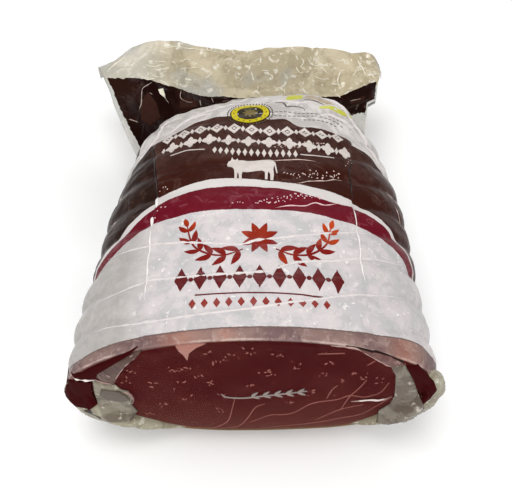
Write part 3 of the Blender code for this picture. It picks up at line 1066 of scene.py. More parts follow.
class Plates:
    """Thin closed shapes laid on a surface, gathered into one piece."""

    def __init__(self, surface, lift=0.10, sunk=-0.25):
        self.bm = bmesh.new()
        self.surface = surface
        self.lift = lift
        self.sunk = sunk

    def add(self, points, faces, rise=None):
        top = []
        for a, b in points:
            lift = self.lift + (rise(a, b) if rise else 0.0)
            top.append(self.bm.verts.new(self.surface.at(a, b, lift)))
        bottom = [self.bm.verts.new(self.surface.at(a, b, self.sunk)) for a, b in points]
        used = {}
        for face in faces:
            self.bm.faces.new([top[i] for i in face])
            self.bm.faces.new([bottom[i] for i in reversed(face)])
            for i, j in zip(face, (*face[1:], face[0])):
                used[(i, j)] = used.get((i, j), 0) + 1
        for i, j in used:
            if (j, i) not in used:
                self.bm.faces.new((top[j], top[i], bottom[i], bottom[j]))

    def polygon(self, outline, spacing=1.6, rise=None):
        """A filled outline with points inside, so that it follows a curved surface."""
        points = [Vector(p) for p in outline]
        edges = [(i, (i + 1) % len(outline)) for i in range(len(outline))]
        xs, ys = [p.x for p in points], [p.y for p in points]
        inside = []
        x = min(xs) + spacing / 2
        while x < max(xs):
            y = min(ys) + spacing / 2
            while y < max(ys):
                if within((x, y), outline):
                    inside.append(Vector((x, y)))
                y += spacing
            x += spacing
        made = geometry.delaunay_2d_cdt(points + inside, edges, [], 1, 1e-6)
        triangles = []
        for face in made[2]:
            a, b, c = (made[0][i] for i in face)
            turn = (b.x - a.x) * (c.y - a.y) - (b.y - a.y) * (c.x - a.x)
            if abs(turn) > 1e-9:
                triangles.append(tuple(face) if turn > 0 else tuple(reversed(face)))
        self.add([(v.x, v.y) for v in made[0]], triangles, rise)

    def pocket(self, outline, height, seed):
        """A crumpled pillow of loose film within an outline."""
        closed = list(outline) + [outline[0]]

        def rise(a, b):
            gaps = []
            for p, q in zip(closed, closed[1:]):
                near, share = geometry.intersect_point_line(Vector((a, b)), Vector(p), Vector(q))
                near = Vector(p).lerp(Vector(q), clamped(share))
                gaps.append((Vector((a, b)) - near).length)
            swell = 1 - exp(-min(gaps) / 2.0)
            crumple = 1 + 0.22 * folds((a, b, 0.0), 0.13, seed) + 0.12 * folds((a, b, 0.0), 0.4, seed)
            return swell * height * crumple

        self.polygon(outline, 0.9, rise)

    def ridge(self, line, width, height):
        """A thin ridge of creased film along a line, uneven and lost towards its ends."""
        path = smooth_path(line, 0.9)
        rows = []
        for i, (x, y) in enumerate(path):
            ax, ay = path[max(0, i - 1)]
            bx, by = path[min(len(path) - 1, i + 1)]
            long = hypot(bx - ax, by - ay)
            share = i / (len(path) - 1)
            uneven = 0.9 + 0.7 * noise.noise(Vector((x, y, 0.0)) * 0.35)
            swell = max(0.08, min(1.0, 5 * share, 5 * (1 - share)) * uneven)
            row = []
            for off, up in RIDGE_PROFILE:
                reach = off * width * swell / long
                lift = up * height * swell if up > 0 else up
                spot = self.surface.at(x - (by - ay) * reach, y + (bx - ax) * reach, lift)
                row.append(self.bm.verts.new(spot))
            rows.append(row)
        count = len(RIDGE_PROFILE)
        for near, far in zip(rows, rows[1:]):
            for i in range(count):
                self.bm.faces.new((near[i], near[(i + 1) % count], far[(i + 1) % count], far[i]))
        self.bm.faces.new(rows[0])
        self.bm.faces.new(list(reversed(rows[-1])))

    def band(self, first, second, closed=False):
        """The strip between two lines of points, first on the left of second."""
        count = len(first)
        points = list(first) + list(second)
        faces = []
        for i in range(count if closed else count - 1):
            j = (i + 1) % count
            faces.append((i, count + i, count + j, j))
        self.add(points, faces)

    def ring(self, centre, inner, outer, steps=96):
        """A flat ring."""
        self.band(round_places(centre, inner, steps), round_places(centre, outer, steps), True)

    def disc(self, centre, radius, steps=32):
        self.polygon(round_places(centre, radius, steps), max(0.8, radius / 4))

    def lozenge(self, centre, half_wide, half_high, hollow=0.0):
        """A lozenge, filled or with a hollow of some share of its size."""
        inner, outer = [], []
        for a, b in ((1, 0), (0, 1), (-1, 0), (0, -1)):
            outer.append((centre[0] + a * half_wide, centre[1] + b * half_high))
            inner.append((centre[0] + a * half_wide * hollow, centre[1] + b * half_high * hollow))
        if hollow:
            self.band(inner, outer, True)
        else:
            self.polygon(outer, 1.3)

    def flower(self, centre, reach, width, petals, turn=0.0):
        for i in range(petals):
            self.leaf(centre, reach, width, turn + 2 * pi * i / petals)

    def leaf(self, foot, length, width, turn, bend=0.0):
        """A pointed leaf from its foot, its tip at the angle turn."""
        left, right = [], []
        steps = 10
        for i in range(steps + 1):
            share = i / steps
            half = width / 2 * sin(pi * share**0.8) ** 0.9 + 0.02
            angle = turn + bend * (share - 0.5)
            x = foot[0] + length * share * cos(angle)
            y = foot[1] + length * share * sin(angle)
            left.append((x - half * sin(angle), y + half * cos(angle)))
            right.append((x + half * sin(angle), y - half * cos(angle)))
        self.band(left, right)

    def stroke(self, line, width, taper=0.0):
        """A line of some width through its points."""
        left, right = [], []
        count = len(line)
        for i, (x, y) in enumerate(line):
            ax, ay = line[max(0, i - 1)]
            bx, by = line[min(count - 1, i + 1)]
            long = hypot(bx - ax, by - ay)
            nx, ny = -(by - ay) / long, (bx - ax) / long
            half = width / 2 * (1 - taper * abs(2 * i / (count - 1) - 1) ** 1.5) + 0.01
            left.append((x + nx * half, y + ny * half))
            right.append((x - nx * half, y - ny * half))
        self.band(left, right)

    def sparkles(self, line, spread, spacing, draw, width=0.5):
        """A drift of small bright specks along a line."""
        for a, b in smooth_path(line, spacing):
            a += draw.uniform(-0.8, 0.8)
            b += draw.gauss(0.0, 0.55) * spread
            self.leaf((a, b), draw.uniform(0.4, 1.1), width * draw.uniform(0.7, 1.3), draw.uniform(0.0, pi))

    def dashes(self, line, width, long, gap):
        """A broken line in short strokes."""
        path = smooth_path(line, gap)
        step = max(1, round(long / gap))
        for i in range(0, len(path) - step, step + 1):
            self.stroke(path[i:i + step + 1], width)

    def finish(self, name, material, smooth=False):
        return link(name, self.bm, material, smooth)

    def paint(self, name, colour, wear_and_glints, roughness=0.32, gloss=0.2, slot="printed_film", smooth=False):
        """The piece in an ink of its own."""
        return self.finish(name, ink(name + "_ink", srgb(*colour), wear_and_glints, roughness, gloss), smooth)


def ridges(surface, *groups, lift=0.10, sunk=-0.25):
    """Plates with a ridge along each line of each group: (lines, width, height)."""
    plates = Plates(surface, lift, sunk)
    for lines, width, height in groups:
        for line in lines:
            plates.ridge(line, width, height)
    return plates


def within(point, outline):
    """Whether a point lies inside an outline."""
    inside = False
    x, y = point
    for (ax, ay), (bx, by) in zip(outline, outline[1:] + outline[:1]):
        if (ay > y) != (by > y) and x < (bx - ax) * (y - ay) / (by - ay) + ax:
            inside = not inside
    return inside


def ink(name, colour, wear_and_glints, roughness, gloss):
    """Ink of one colour, a little uneven, with wear."""
    s = Shader(name, Roughness=roughness, Specular_IOR_Level=gloss)
    wear = s.noise(420.0, 3.0, 0.6)
    dark = tuple(channel * 0.72 for channel in colour[:3])
    s.to("Base Color", s.mix(s.ramp(wear, 0.4, 0.7, 0.0, wear_and_glints), colour, (*dark, 1.0)))
    s.to("Normal", s.bump(wear, 0.06 * MM, 0.5))
    return s.material


PALE_INK = (212, 202, 196)

# The ornament rows on the brown band: (half height, the line of their middles), in millimetres
ROWS = (
    (3.9, ((-46, 124.8), (-27, 125.8), (-10, 122.5), (4, 119.6), (22, 121.0), (42, 123.6))),
    (4.0, ((-48, 116.6), (-27, 117.2), (-9, 113.0), (4, 111.0), (26, 111.5), (46, 114.0))),
    (2.4, ((-20, 107.6), (-9, 104.7), (3, 103.5), (19, 104.4))),
)
RULES = (((-43, 110.1), (-34, 111.0), (-25, 109.1)), ((21.5, 104.9), (30, 106.0), (39, 107.4)))
COW = (
    (-14.6, 9.2), (-13.6, 10.9), (-12.4, 11.4), (-11.6, 13.2), (-10.8, 11.9), (-9.6, 11.6), (-8.4, 12.4),
    (-8.0, 11.3), (-5.6, 11.2), (-2.6, 10.6), (1.6, 10.7), (5.6, 11.2), (9.4, 11.4), (12.0, 10.9),
    (13.4, 9.4), (13.9, 6.6), (14.4, 3.8), (13.7, 3.7), (13.1, 6.4), (12.6, 8.0), (12.0, 5.6), (12.3, 3.0),
    (11.9, 0.2), (10.3, 0.2), (10.2, 3.0), (9.3, 4.4), (8.8, 3.0), (8.7, 0.6), (7.3, 0.6), (7.2, 4.0),
    (5.6, 4.8), (1.2, 4.4), (-2.6, 4.0), (-5.4, 4.2), (-5.9, 2.6), (-5.8, 0.2), (-7.3, 0.2), (-7.6, 3.0),
    (-8.2, 4.2), (-8.6, 0.7), (-9.9, 0.7), (-10.0, 4.0), (-10.4, 6.2), (-11.4, 7.2), (-12.8, 7.6),
    (-14.0, 7.9),
)
COW_PLACE = (-1.8, 85.5)
COW_SIZE = (0.82, 1.2)


def pale_ornaments(film):
    """The pale rows, rules and the grazing animal on the brown band."""
    plates = Plates(film, 0.24)
    for kind, (half, line) in enumerate(ROWS):
        for i, place in enumerate(smooth_path(line, (4.4, 4.9, 3.1)[kind])):
            if kind == 2:
                plates.lozenge(place, 1.1, half)
            elif (i + kind) % 2:
                plates.lozenge(place, 1.1, half * 0.55)
            elif kind == 0:
                plates.lozenge(place, 3.5, half, 0.42)
                plates.disc(place, 0.75, 10)
            else:
                plates.flower(place, half, 2.9, 4, pi / 2)
    for line in RULES:
        plates.stroke(smooth_path(line, 2.0), 0.5)
    plates.polygon([(x * COW_SIZE[0] + COW_PLACE[0], y * COW_SIZE[1] + COW_PLACE[1]) for x, y in COW])
    return plates.paint("pale_ornaments", PALE_INK, 0.35)


# The medal's middle, its rings of dots as (radius, count, size, sides), and its other sizes
MEDAL = (-3.0, 136.4)
MEDAL_RADIUS = 10.3
MEDAL_RING = (6.7, 9.6)
MEDAL_PETAL = (4.0, 1.5)
MEDAL_DOTS = ((8.2, 16, 0.4, 10), (11.5, 44, 0.36, 8))


def medal(film):
    """A plain round gold disc with a rosette, on the white upper band."""
    dark = Plates(film, 0.10)
    dark.disc(MEDAL, MEDAL_RADIUS, 72)
    dark.paint("medal_ground", (44, 34, 18), 0.3)
    gold = Plates(film, 0.34, -0.1)
    gold.ring(MEDAL, *MEDAL_RING)
    gold.paint("medal_gold", (206, 190, 14), 0.5)
    rosette = Plates(film, 0.34, -0.1)
    rosette.flower(MEDAL, *MEDAL_PETAL, 8)
    rosette.paint("medal_rosette", (118, 104, 56), 0.5)
    marks = Plates(film, 0.42, 0.05)
    for radius, count, size, sides in MEDAL_DOTS:
        for place in round_places(MEDAL, radius, count):
            marks.disc(place, size, sides)
    marks.paint("medal_dots", (96, 82, 60), 0.3)


# The branch on the right of the white field's rosette, from the rosette out to its tip
BRANCH = ((7, -6), (14, -9), (22, -8), (29, -2), (32, 8))
FIELD_CENTRE = (1.5, 52.0)


def branch(plates, side):
    """One of two mirrored branches with leaves on both sides."""
    stem = [(FIELD_CENTRE[0] + side * x, FIELD_CENTRE[1] + y) for x, y in smooth_path(BRANCH, 1.0)]
    plates.stroke(stem, 1.0, 0.5)
    for i in range(2, len(stem) - 3, 6):
        x, y = stem[i]
        heading = atan2(stem[i + 1][1] - y, stem[i + 1][0] - x)
        length = 8.4 - 2.4 * i / len(stem)
        for turn in (0.85, -0.85):
            plates.leaf((x, y), length, 3.0 - 0.6 * i / len(stem), heading + turn, -0.4 * turn)
    plates.leaf(stem[-1], 5.5, 2.4, atan2(stem[-1][1] - stem[-2][1], stem[-1][0] - stem[-2][0]))


# The border under them: heights of its rows, the half width of the first, and how many it holds
BORDER_HEIGHT = 31.2
BORDER_HALF = 33.0
BORDER_COUNT = 17
RULE_HEIGHT = 22.6
DOT_HEIGHT = 18.6
DOT_COUNT = 12


def field_ornament(film):
    """The red and orange leaves, with a border below them, on the white field."""
    s = Shader("leaf_ink", Roughness=0.3, Specular_IOR_Level=0.15)
    s.to("Base Color", s.two(s.noise(26.0, 2.0, 0.5), 0.42, 0.60, (122, 18, 12), (186, 66, 20)))
    s.to("Normal", s.bump(s.noise(420.0, 3.0), 0.06 * MM, 0.5))
    leaves = Plates(film, 0.12)
    for side in (-1, 1):
        branch(leaves, side)
    leaves.flower(FIELD_CENTRE, 8.6, 3.4, 8, pi / 8)
    leaves.finish("field_leaves", s.material)
    border = Plates(film, 0.12)
    for i in range(BORDER_COUNT):
        place = (FIELD_CENTRE[0] + BORDER_HALF * (i * 2 / (BORDER_COUNT - 1) - 1), BORDER_HEIGHT)
        if i % 2 == 0:
            border.lozenge(place, 3.0, 6.0)
        else:
            border.disc(place, 1.1, 12)
    border.stroke([(-25.0 + 53.0 * i / 12, RULE_HEIGHT) for i in range(13)], 0.6)
    border.paint("field_border", (96, 24, 26), 0.4)
    dots = Plates(film, 0.12)
    for i in range(DOT_COUNT):
        dots.lozenge((-26.0 + 55.0 * i / (DOT_COUNT - 1), DOT_HEIGHT), 1.5, 2.2)
    dots.paint("field_dots", (140, 48, 40), 0.4)


# Creases of the film on the meat, as (arc, distance along) in millimetres
TIE_LINES = (
    ((-75, 57), (-50, 54), (-42, 53), (-26, 51), (-7, 49), (1, 51), (8, 52), (24, 55.5), (41, 60),
     (58, 65)),
    ((-83, 35), (-68, 32), (-48, 34), (-29, 33), (4, 34), (16, 39), (33, 42), (52, 48), (68, 52), (78, 56)),
    ((-80, 18), (-46, 13), (-17, 14), (1, 16), (15, 19), (31, 23), (41, 26), (53, 29), (68, 33), (78, 36)),
)
BRIGHT_CREASES = (
    ((-49.2, 66), (-48.4, 57), (-48, 45), (-47.3, 32), (-47.8, 23)),
    ((46.8, 77), (47.2, 65)),
    ((47.2, 66), (47, 51), (46.8, 40), (48, 32)),
)
PANEL_KNOTS = (((-47.9, 84), (-47.6, 80), (-47.2, 75.5)), ((-49.4, 71), (-49.0, 65.5)))
# Where painted shadows lie in the grooves beside the panel creases
PANEL_GROOVE_SHADOWS = (
    ((-56.5, 123), (-53.4, 114), (-52.1, 107.7), (-51.5, 101.2), (-49.2, 93.1), (-48.2, 87.9),
     (-48.0, 83.5)),
    ((51, 112), (49, 106), (46.9, 101), (48.1, 96.8), (46.7, 88.3), (46.9, 82.5)),
)
# Wrinkles whose ridges are coloured as painted highlights
MAGENTA_WRINKLE_GLINTS = (((8.5, 68.9), (15.3, 70.8), (22.3, 71.8), (27.2, 74.6), (32.2, 74.7), (40.3, 78.3)),)
BROWN_WRINKLE_GLINTS = (
    ((18, 84.8), (20.5, 85.3), (24.4, 87.4), (28.5, 88.7), (33.4, 90.3), (38.4, 92.9), (43, 94)),
    ((6.5, 98.3), (13.6, 99.3), (21, 100.9), (29, 101.4)),
)
# Drifts of bright specks: (their line, spread, spacing)
BROWN_SPARKLES = (
    (((13, 89.6), (18.3, 89.2), (24.5, 91)), 1.6, 1.0),
    (((25.5, 92.2), (33.6, 93.2), (41.5, 96.4)), 2.6, 0.62),
    (((10, 108.5), (20, 109.5)), 1.0, 0.8),
    (((24, 113.5), (36, 115.5)), 1.0, 0.8),
    (((45.5, 104.5), (50, 110)), 1.2, 1.6),
    (((-46, 88), (-41.5, 86)), 1.5, 1.3),
)
MAGENTA_SPARKLES = (
    (((0, 71.6), (10.8, 73.2), (16.8, 75.3), (24, 77.1)), 2.2, 0.62),
    (((24, 77.1), (32, 78.9)), 1.0, 0.9),
    (((-10, 71.6), (-6, 71.8)), 2.2, 1.2),
    (((-47, 71.6), (-43, 74)), 1.8, 1.4),
)
BAND_CREASES = (
    ((-61, 124), (-56, 131), (-53, 138), (-50, 146), (-44, 152)),
    ((34, 157), (40, 154.5), (46, 152), (52, 148), (58, 141), (65, 136.5), (70, 127), (76, 121)),
    ((-40, 140), (-30, 146), (-18, 149), (-6, 150)),
    ((6, 150), (14, 151), (22, 148), (30, 150)),
    ((30, 136), (38, 141), (47, 139), (56, 137)),
    ((-46, 132), (-36, 140), (-24, 143)),
)
# Where painted shade lies in the folds of the white upper band
BAND_CREASE_SHADOWS = (
    ((4.7, 148.1), (8.4, 151.2), (11, 149.5), (14.1, 148.3), (16, 143.6), (18.5, 144.4), (24.4, 143.2),
     (25.3, 141.1)),
    ((25, 152.5), (30, 151.5), (36, 148.5)),
)
HAIRLINES = (
    ((7.2, 136.8), (14.9, 138.4), (22.6, 138.2), (30.6, 140.4), (38.8, 139.4), (47.2, 137.8)),
    ((9, 134.2), (22.6, 135.2), (33, 137.4), (41.5, 136.1), (46, 134)),
    ((24, 131.6), (34, 134), (44, 132.6)),
)
GOLD_PATCH = (
    (15.5, 155.2), (17.2, 158.8), (20.6, 160.6), (25, 159.6), (24.8, 155.5), (23.2, 153.4), (18.1, 153.6),
)
GOLD_ARC = ((33, 145.6), (39.2, 147.4), (45.4, 147.0), (51.5, 149.0), (56, 151.5))
BEIGE_PATCH = (
    (25.6, 154.5), (26.5, 159.5), (30.3, 160.8), (34, 156.6), (38.5, 152.2), (42, 150.4), (37, 149.4),
    (33, 151.2), (29, 153.4),
)
SIDE_GLINTS = (
    ((-78, 102), (-86, 106)), ((-75, 82), (-80, 84), (-88, 88)), ((74, 103), (84, 99)), ((76, 92),
     (86, 87)),
)


def film_creases(film):
    """The raised lines of string marks, panel creases and wrinkles on the printed film, most coloured as
    painted highlights, with painted shadows in the panel grooves and the band's folds.
    """
    # Painted highlights: ridges along the string marks and the band's creases, lighter than the print under
    # them
    pale = ridges(film, (TIE_LINES, 1.8, 0.35), (BAND_CREASES, 2.6, 1.1))
    pale.paint("string_mark_highlights", (222, 215, 213), 0.3, smooth=True)
    # Painted highlights: near-white ridges along the panel creases and their knots
    bright = ridges(film, (BRIGHT_CREASES, 1.0, 0.5), (PANEL_KNOTS, 2.4, 0.7))
    bright.paint("panel_crease_highlights", (240, 236, 233), 0.1, smooth=True)
    # Painted shadows: dark strokes in the grooves beside the panel creases
    groove_shadows = Plates(film)
    for line in PANEL_GROOVE_SHADOWS:
        groove_shadows.stroke(smooth_path(line, 1.0), 1.2, 0.6)
    groove_shadows.paint("panel_groove_shadows", (30, 9, 6), 0.02, smooth=True)
    draw = random.Random(7)
    # Painted highlights: light ridges along wrinkles and drifts of bright specks on the brown and the
    # magenta print
    beige = ridges(film, (BROWN_WRINKLE_GLINTS, 0.6, 0.35), (SIDE_GLINTS, 0.5, 0.3))
    rose = ridges(film, (MAGENTA_WRINKLE_GLINTS, 0.8, 0.35))
    for plates, rows in ((beige, BROWN_SPARKLES), (rose, MAGENTA_SPARKLES)):
        for line, spread, spacing in rows:
            plates.sparkles(line, spread, spacing, draw)
    beige.paint("brown_wrinkle_glints", (222, 198, 188), 0.6, smooth=True)
    rose.paint("magenta_wrinkle_glints", (238, 202, 202), 0.5, smooth=True)
    # Painted shade: dark strokes in the folds of the white upper band
    dark = Plates(film)
    for line in BAND_CREASE_SHADOWS:
        dark.stroke(smooth_path(line, 0.8), 0.9, 0.8)
    dark.paint("band_fold_shadows", (84, 68, 60), 0.4)
    hairs = Plates(film)
    for line in HAIRLINES:
        hairs.dashes(line, 0.55, 1.6, 0.8)
    hairs.paint("band_hairlines", (112, 102, 98), 0.5)
    gold = Plates(film)
    gold.polygon(GOLD_PATCH)
    gold.stroke(smooth_path(GOLD_ARC, 1.0), 3.0, 0.7)
    gold.paint("band_gold", (202, 202, 78), 0.5)
    beige = Plates(film)
    beige.polygon(BEIGE_PATCH)
    beige.paint("band_beige", (186, 170, 148), 1.0)


# Marks on the tail, as (place across it, place out from the meat) in percent
TAIL_GLINTS = (
    ((-65, 59), (-61, 55), (-54, 61)), ((-73, 53), (-69, 50), (-62, 53)), ((-42, 73), (-35, 78), (-28, 80)),
    ((-25, 69), (-21, 73), (-18, 77)), ((5, 85), (14, 91)), ((21, 90), (26, 85)), ((15, 78), (22, 78)),
    ((8, 79), (10, 68)), ((58, 80), (62, 75)), ((53, 73), (58, 69), (65, 69)), ((71, 80), (70, 70),
     (72, 61)),
    ((66, 63), (71, 65), (75, 64)), ((-73, 69), (-77, 65), (-81, 69)), ((-57, 74), (-52, 76)),
    ((-67, 66), (-60, 67), (-52, 73)), ((-40, 82), (-37, 86), (-33, 87)), ((-5, 84), (-2, 84)),
    ((39, 83), (42, 77), (46, 78)), ((42, 91), (44, 87), (42, 82)), ((37, 63), (40, 65)), ((42, 66),
     (44, 62)),
    ((12, 62), (12, 56)), ((23, 63), (26, 59)), ((69, 54), (74, 48)), ((81, 92), (86, 77), (90, 63)),
    ((92, 67), (96, 56)), ((48, 87), (55, 83)), ((-96, 60), (-88, 72), (-78, 80)), ((-58, 90),
     (-30, 97), (-10, 96)),
)
TAIL_FOLD_HIGHLIGHTS = (
    ((-65, 49), (-70, 45), (-76, 40), (-79, 34), (-82, 28), (-87, 23)), ((-96, 20), (-91, 17)),
     ((-72, 38), (-70, 36)),
    ((-45, 49), (-48, 42), (-48, 39), (-44, 37), (-38, 39)), ((-33, 44), (-34, 36)), ((-23, 49), (-23, 43)),
    ((81, 39), (90, 36)), ((-62, 38), (-60, 31)),
)
TAIL_GLEAM = ((-64, 42), (-59.5, 45), (-60, 40), (-61, 35), (-64, 38))
TAIL_DARKS = (((-99.5, 96), (-97, 98.8)), ((-95, 98.6), (-89, 99)), ((95, 99), (99.4, 94.5)))
TAIL_TONES = (
    ((-73, 38), (-70, 30), (-73, 18), (-84, 14), (-88, 18), (-83, 28)),
    ((-45, 41), (-36, 42), (-36, 34), (-53, 29), (-50, 36)),
    ((80, 39), (92, 38), (92, 34), (83, 34)),
)


class TailMap:
    """Places on the tail's upper film in percent across it and out from the meat."""

    def __init__(self, rows):
        self.rows = rows

    def at(self, across, out, lift_mm=0.0):
        i, j = (across / 100 + 1) / 2 * TAIL_COLUMNS, out / 100 * TAIL_ROWS
        i, j = min(TAIL_COLUMNS - 1.01, max(0.01, i)), min(TAIL_ROWS - 1.01, max(0.01, j))
        a, b = int(i), int(j)
        near = self.rows[b][a].lerp(self.rows[b][a + 1], i - a)
        far = self.rows[b + 1][a].lerp(self.rows[b + 1][a + 1], i - a)
        up = (self.rows[b][a + 1] - self.rows[b][a]).cross(far - near).normalized()
        return near.lerp(far, j - b) + up * (lift_mm * MM)


def tail_marks(rows):
    """Painted highlights on the tail's folds, painted gleams, and the lighter tones of its brown print."""
    tail = TailMap(rows)
    tones = Plates(tail, 0.12, -0.1)
    for outline in TAIL_TONES:
        tones.polygon(outline, 2.0)
    tones.paint("tail_tones", (58, 34, 28), 0.7, 0.7, 0.02, **ON_CLEAR)
    glints = ridges(tail, (TAIL_GLINTS, 1.2, 0.4), lift=0.15, sunk=-0.1)
    glints.polygon(TAIL_GLEAM, 2.0)
    glints.paint("tail_glints", (240, 234, 214), 0.2, **ON_CLEAR)
    dark = ridges(tail, (TAIL_DARKS, 1.3, 0.3))
    dark.paint("tail_edge_marks", (78, 72, 62), 0.4, **ON_CLEAR)
    # Painted highlights: light lines along the tail's folds
    bright = ridges(tail, (TAIL_FOLD_HIGHLIGHTS, 0.9, 0.4))
    bright.paint("tail_fold_highlights", (176, 160, 150), 0.4, **ON_CLEAR)


# Marks on the cut end, as (x, height) in millimetres
MEAT_VEINS = (
    ((-33, 12), (-21, 13), (-18, 16), (-13, 25), (-11, 36), (-9, 50)),
    ((-21, 12), (-9, 17), (-4, 28), (0, 40), (4, 43)),
    ((-3, 23), (7, 32), (12, 32), (17, 34), (25, 43), (36, 46), (41, 49), (48, 47), (54, 50), (57, 58)),
    ((2, 14), (29, 22), (39, 26), (48, 29), (54, 37), (60, 45)),
    ((38, 35), (41, 48), (44, 54), (47, 61)),
    ((25, 81), (36, 81)),
    ((46, 72), (49, 75)),
    ((31, 47), (33, 55), (35, 58)),
    ((28, 26), (38, 36), (48, 40)),
)
MEAT_FLECKS = (
    (-52, 66), (-56, 60), (-45, 57), (-35, 70), (-29, 71), (-23, 66), (-32, 62), (-30, 47), (-41, 40),
    (-48, 28),
    (-18, 83), (-16, 75), (-11, 79), (-3, 83), (9, 80), (17, 72), (6, 68), (3, 68), (-20, 60), (-14, 50),
    (28, 66), (36, 60), (40, 66), (24, 52), (14, 44), (-2, 60), (46, 64), (30, 74), (-16, 36), (52, 60),
)
FACE_GLINTS = (((42, 44), (51, 44.5), (55, 43.4), (60, 46)),
               ((30, 86), (39, 84), (43, 82), (51, 75), (56, 71), (62, 71.5)),
               ((-68, 62), (-62, 69), (-54, 76), (-46, 82)), ((-47, 80.5), (-54, 72), (-59, 63), (-61, 57)),
               ((-70, 60), (-66, 58), (-61, 57)))
LOBES = (
    ((-87, 44), (-85.5, 48.5), (-82, 53.5), (-77, 57.5), (-71, 57.5), (-72, 49), (-71, 40), (-76, 35),
     (-82, 35), (-86, 39)),
    ((-80, 58.5), (-74, 63.2), (-66, 70.2), (-57, 76.6), (-48, 82), (-55, 76.5), (-62, 70), (-67, 65),
     (-68, 61.5), (-73, 59.5)),
    ((62.5, 70.5), (68, 69), (71, 64.5), (74, 60), (77, 56), (79, 51), (77, 44), (74, 43), (70, 52),
     (67, 61)),
)
POCKETS = (
    ("upper", 0.5, (104, 78, 70), (84, 62, 55),
     ((-68, 62), (-67, 65), (-62, 70), (-54, 77), (-46, 82), (-49, 78), (-54, 72), (-59, 63), (-61, 57),
      (-66, 59))),
    ("lower", 0.9, (148, 140, 122), (112, 102, 88),
     ((-70, 59), (-65, 57), (-61, 57), (-58.5, 53), (-55.5, 52), (-54, 46), (-56, 40), (-54, 33), (-58, 26),
      (-69, 29), (-71, 40), (-71, 50))),
    ("right", 1.2, (136, 127, 113), (102, 90, 79),
     ((56, 71), (60, 72), (62, 71), (66, 63), (70, 54), (75, 42), (77, 30), (70, 24), (56, 23), (56, 33),
      (60, 39), (61, 47), (60, 56), (59, 64))),
    ("strip", 0.3, (132, 98, 92), (104, 70, 66),
     ((39, 84), (43, 82), (51, 75.5), (57, 70.5), (62, 71.3), (60, 73), (55, 77), (48, 80.4), (41, 83.5))),
)


RIM_DRIP = ((-34, 86.5), (-31, 83), (-29.5, 81), (-28, 77), (-27, 82), (-24, 85.5), (-20, 87.5), (-26, 87))
SPRIG_STEM = ((-15, 52), (-13, 49.6), (-6, 48.8), (2, 50.4), (10, 52), (22, 54.5))
POCKET_EDGES = (((-59, 52), (-56, 51.5), (-54, 46), (-56, 39.5)),)
LEFT_GLEAMS = (((-79, 58), (-76, 59), (-72, 59.6), (-69, 58.6)),)
RIGHT_GLEAMS = (((44, 44.2), (51, 44.6), (54, 43.8), (57, 44.6)),)
RIGHT_SHADOW = ((36, 85.2), (41, 83.6), (48, 80.6), (55, 77), (61, 73))
LEFT_SHADOW = ((-79, 31), (-76, 33), (-71.5, 31), (-70.5, 28.5), (-75, 28.5))
POCKET_SHADE = ((-67, 54), (-60, 53.5), (-56.5, 50.5), (-55.5, 46.5), (-60, 44.5), (-65, 45.5), (-68.5, 49))


def face_marks():
    """Thin veins and small flecks of fat in the cut face, just under the film."""
    face = FaceMap()
    marks = Plates(face, -0.25, -0.7)
    for line in MEAT_VEINS:
        marks.stroke(smooth_path(line, 0.8), 0.42, 0.5)
    draw = random.Random(3)
    for x, z in MEAT_FLECKS:
        for _ in range(4):
            place = (x + draw.uniform(-2.2, 2.2), z + draw.uniform(-2.2, 2.2))
            turn = draw.uniform(0.0, pi)
            size = (draw.uniform(0.6, 2.0), draw.uniform(0.35, 0.6))
            marks.leaf(place, *size, turn, draw.uniform(-1.0, 1.0))
    marks.paint("meat_marbling", (156, 98, 90), 0.7, 0.6, 0.03, slot="cured_meat")
    drip = Plates(face, 0.10)
    drip.polygon(RIM_DRIP, 1.4)
    drip.paint("rim_drip", (170, 118, 106), 0.5)
    sprig = Plates(face, 0.10)
    sprig.stroke(smooth_path(SPRIG_STEM, 1.0), 0.8, 0.5)
    for x in range(-2, 20, 5):
        for turn in (0.85, -0.55):
            sprig.leaf((x, 50.8 + 0.14 * x), 4.2, 1.3, turn)
    sprig.paint("face_sprig", (150, 136, 130), 0.3)


def corner_film(*pieces):
    """The pockets of loose film at both ends of the cut, and the meat that shows beside them."""
    drape = Drape(*pieces)
    lobes = Plates(drape, 0.8, -0.3)
    for outline in LOBES:
        lobes.polygon(outline, 0.8)
    lobes.paint("meat_lobes", (58, 8, 10), 0.3, 0.7, 0.03, slot="cured_meat")
    for seed, (name, height, colour, shade, outline) in enumerate(POCKETS):
        sheet = Plates(drape, 0.25, -0.3)
        sheet.pocket(outline, height, seed * 3.0)
        glint = tuple(channel + 60 for channel in colour)
        film = clear_film("pocket_film_" + name, colour, shade, (0.85, 0.97), 110.0, glint)
        sheet.finish("pocket_" + name, film, True)
    dark = Plates(drape, 0.2)
    dark.stroke(smooth_path(RIGHT_SHADOW, 1.0), 0.7, 0.6)
    dark.polygon(LEFT_SHADOW, 1.2)
    dark.paint("corner_shadows", (34, 14, 12), 0.2, slot="clear_film")
    shade = Plates(drape, 1.6, 0.4)
    shade.polygon(POCKET_SHADE, 1.2)
    shade.paint("pocket_shade", (92, 81, 70), 0.5, **ON_CLEAR)
    glints = ridges(drape, (FACE_GLINTS, 0.8, 0.35), (POCKET_EDGES, 0.5, 1.3))
    glints.paint("face_glints", (186, 150, 142), 0.4, **ON_CLEAR)
    gleam = ridges(drape, (LEFT_GLEAMS, 2.0, 1.3), (RIGHT_GLEAMS, 1.1, 0.5))
    gleam.paint("face_gleam", (240, 228, 222), 0.1, **ON_CLEAR)


# The camera, the light and the floor

CAMERA_BACK = 0.13798
CAMERA_HEIGHT = 0.33167
CAMERA_LOOKS_DOWN = 52.226
CAMERA_LENS = 49.22


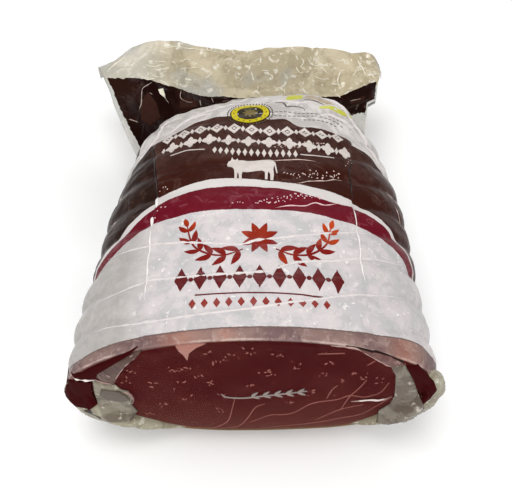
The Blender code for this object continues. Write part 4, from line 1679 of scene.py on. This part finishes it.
def camera():
    data = bpy.data.cameras.new("camera")
    data.lens = CAMERA_LENS
    data.sensor_width = 36.0
    data.clip_start = 0.01
    obj = bpy.data.objects.new("camera", data)
    obj.location = CUT + Vector((0.0, -CAMERA_BACK, CAMERA_HEIGHT))
    obj.rotation_euler = (radians(90 - CAMERA_LOOKS_DOWN), 0.0, 0.0)
    bpy.context.scene.collection.objects.link(obj)
    bpy.context.scene.camera = obj


# The lights: name, place, what it faces, width and height, power
LIGHTS = (
    ("top_light", (-0.12, -0.10, 1.00), (0.0, 0.0, 0.05), (0.6, 0.6), 5.5),
    ("back_light", (0.10, 0.62, 0.62), (0.0, 0.0, 0.05), (0.7, 0.12), 1.6),
    ("right_light", (0.70, -0.20, 0.50), (0.0, 0.0, 0.04), (0.4, 0.4), 0.7),
    ("left_light", (-0.70, -0.30, 0.50), (0.0, 0.0, 0.04), (0.4, 0.4), 1.0),
    ("front_light", (0.15, -0.85, 0.40), (0.0, -0.05, 0.04), (0.5, 0.3), 2.6),
)
AIR_STRENGTH = 0.25


def area_light(name, place, target, size, power):
    data = bpy.data.lights.new(name, "AREA")
    data.shape = "RECTANGLE"
    data.size, data.size_y = size
    data.energy = power
    obj = bpy.data.objects.new(name, data)
    obj.location = place
    obj.rotation_euler = (Vector(target) - Vector(place)).to_track_quat("-Z", "Y").to_euler()
    bpy.context.scene.collection.objects.link(obj)


def floor_paper():
    """Bright white paper, with a grain too fine to see from a step away."""
    s = Shader("floor_paper", Roughness=0.9, Specular_IOR_Level=0.1, Emission_Strength=0.10)
    s.to("Emission Color", (1.0, 1.0, 1.0, 1.0))
    s.to("Base Color", s.mix(s.noise(900.0, 2.0), (0.94, 0.94, 0.94, 1.0), (0.96, 0.96, 0.96, 1.0)))
    return s.material


def studio():
    bpy.ops.mesh.primitive_plane_add(size=6.0, location=(0.0, 0.0, -0.0002))
    floor = bpy.context.object
    floor.name = "floor"
    floor.data.materials.append(floor_paper())
    world = bpy.data.worlds.new("studio_air")
    bpy.context.scene.world = world
    world.use_nodes = True
    air = world.node_tree.nodes["Background"].inputs
    air["Color"].default_value = (1.0, 1.0, 1.0, 1.0)
    air["Strength"].default_value = AIR_STRENGTH
    for light in LIGHTS:
        area_light(*light)
    bpy.context.scene.view_settings.view_transform = "Standard"


def main():
    rings = film_rings()
    skin = film_skin(rings)
    meat_piece()
    tails = [tail_piece(*film) for film in TAIL_FILMS]
    corners = [corner_piece(side, *span) for side, span in CORNER_SPANS.items()]
    film = FilmMap(rings)
    pale_ornaments(film)
    medal(film)
    tail_marks(tails[0])
    field_ornament(film)
    film_creases(film)
    face_marks()
    corner_film(skin, *corners)
    camera()
    studio()


main()
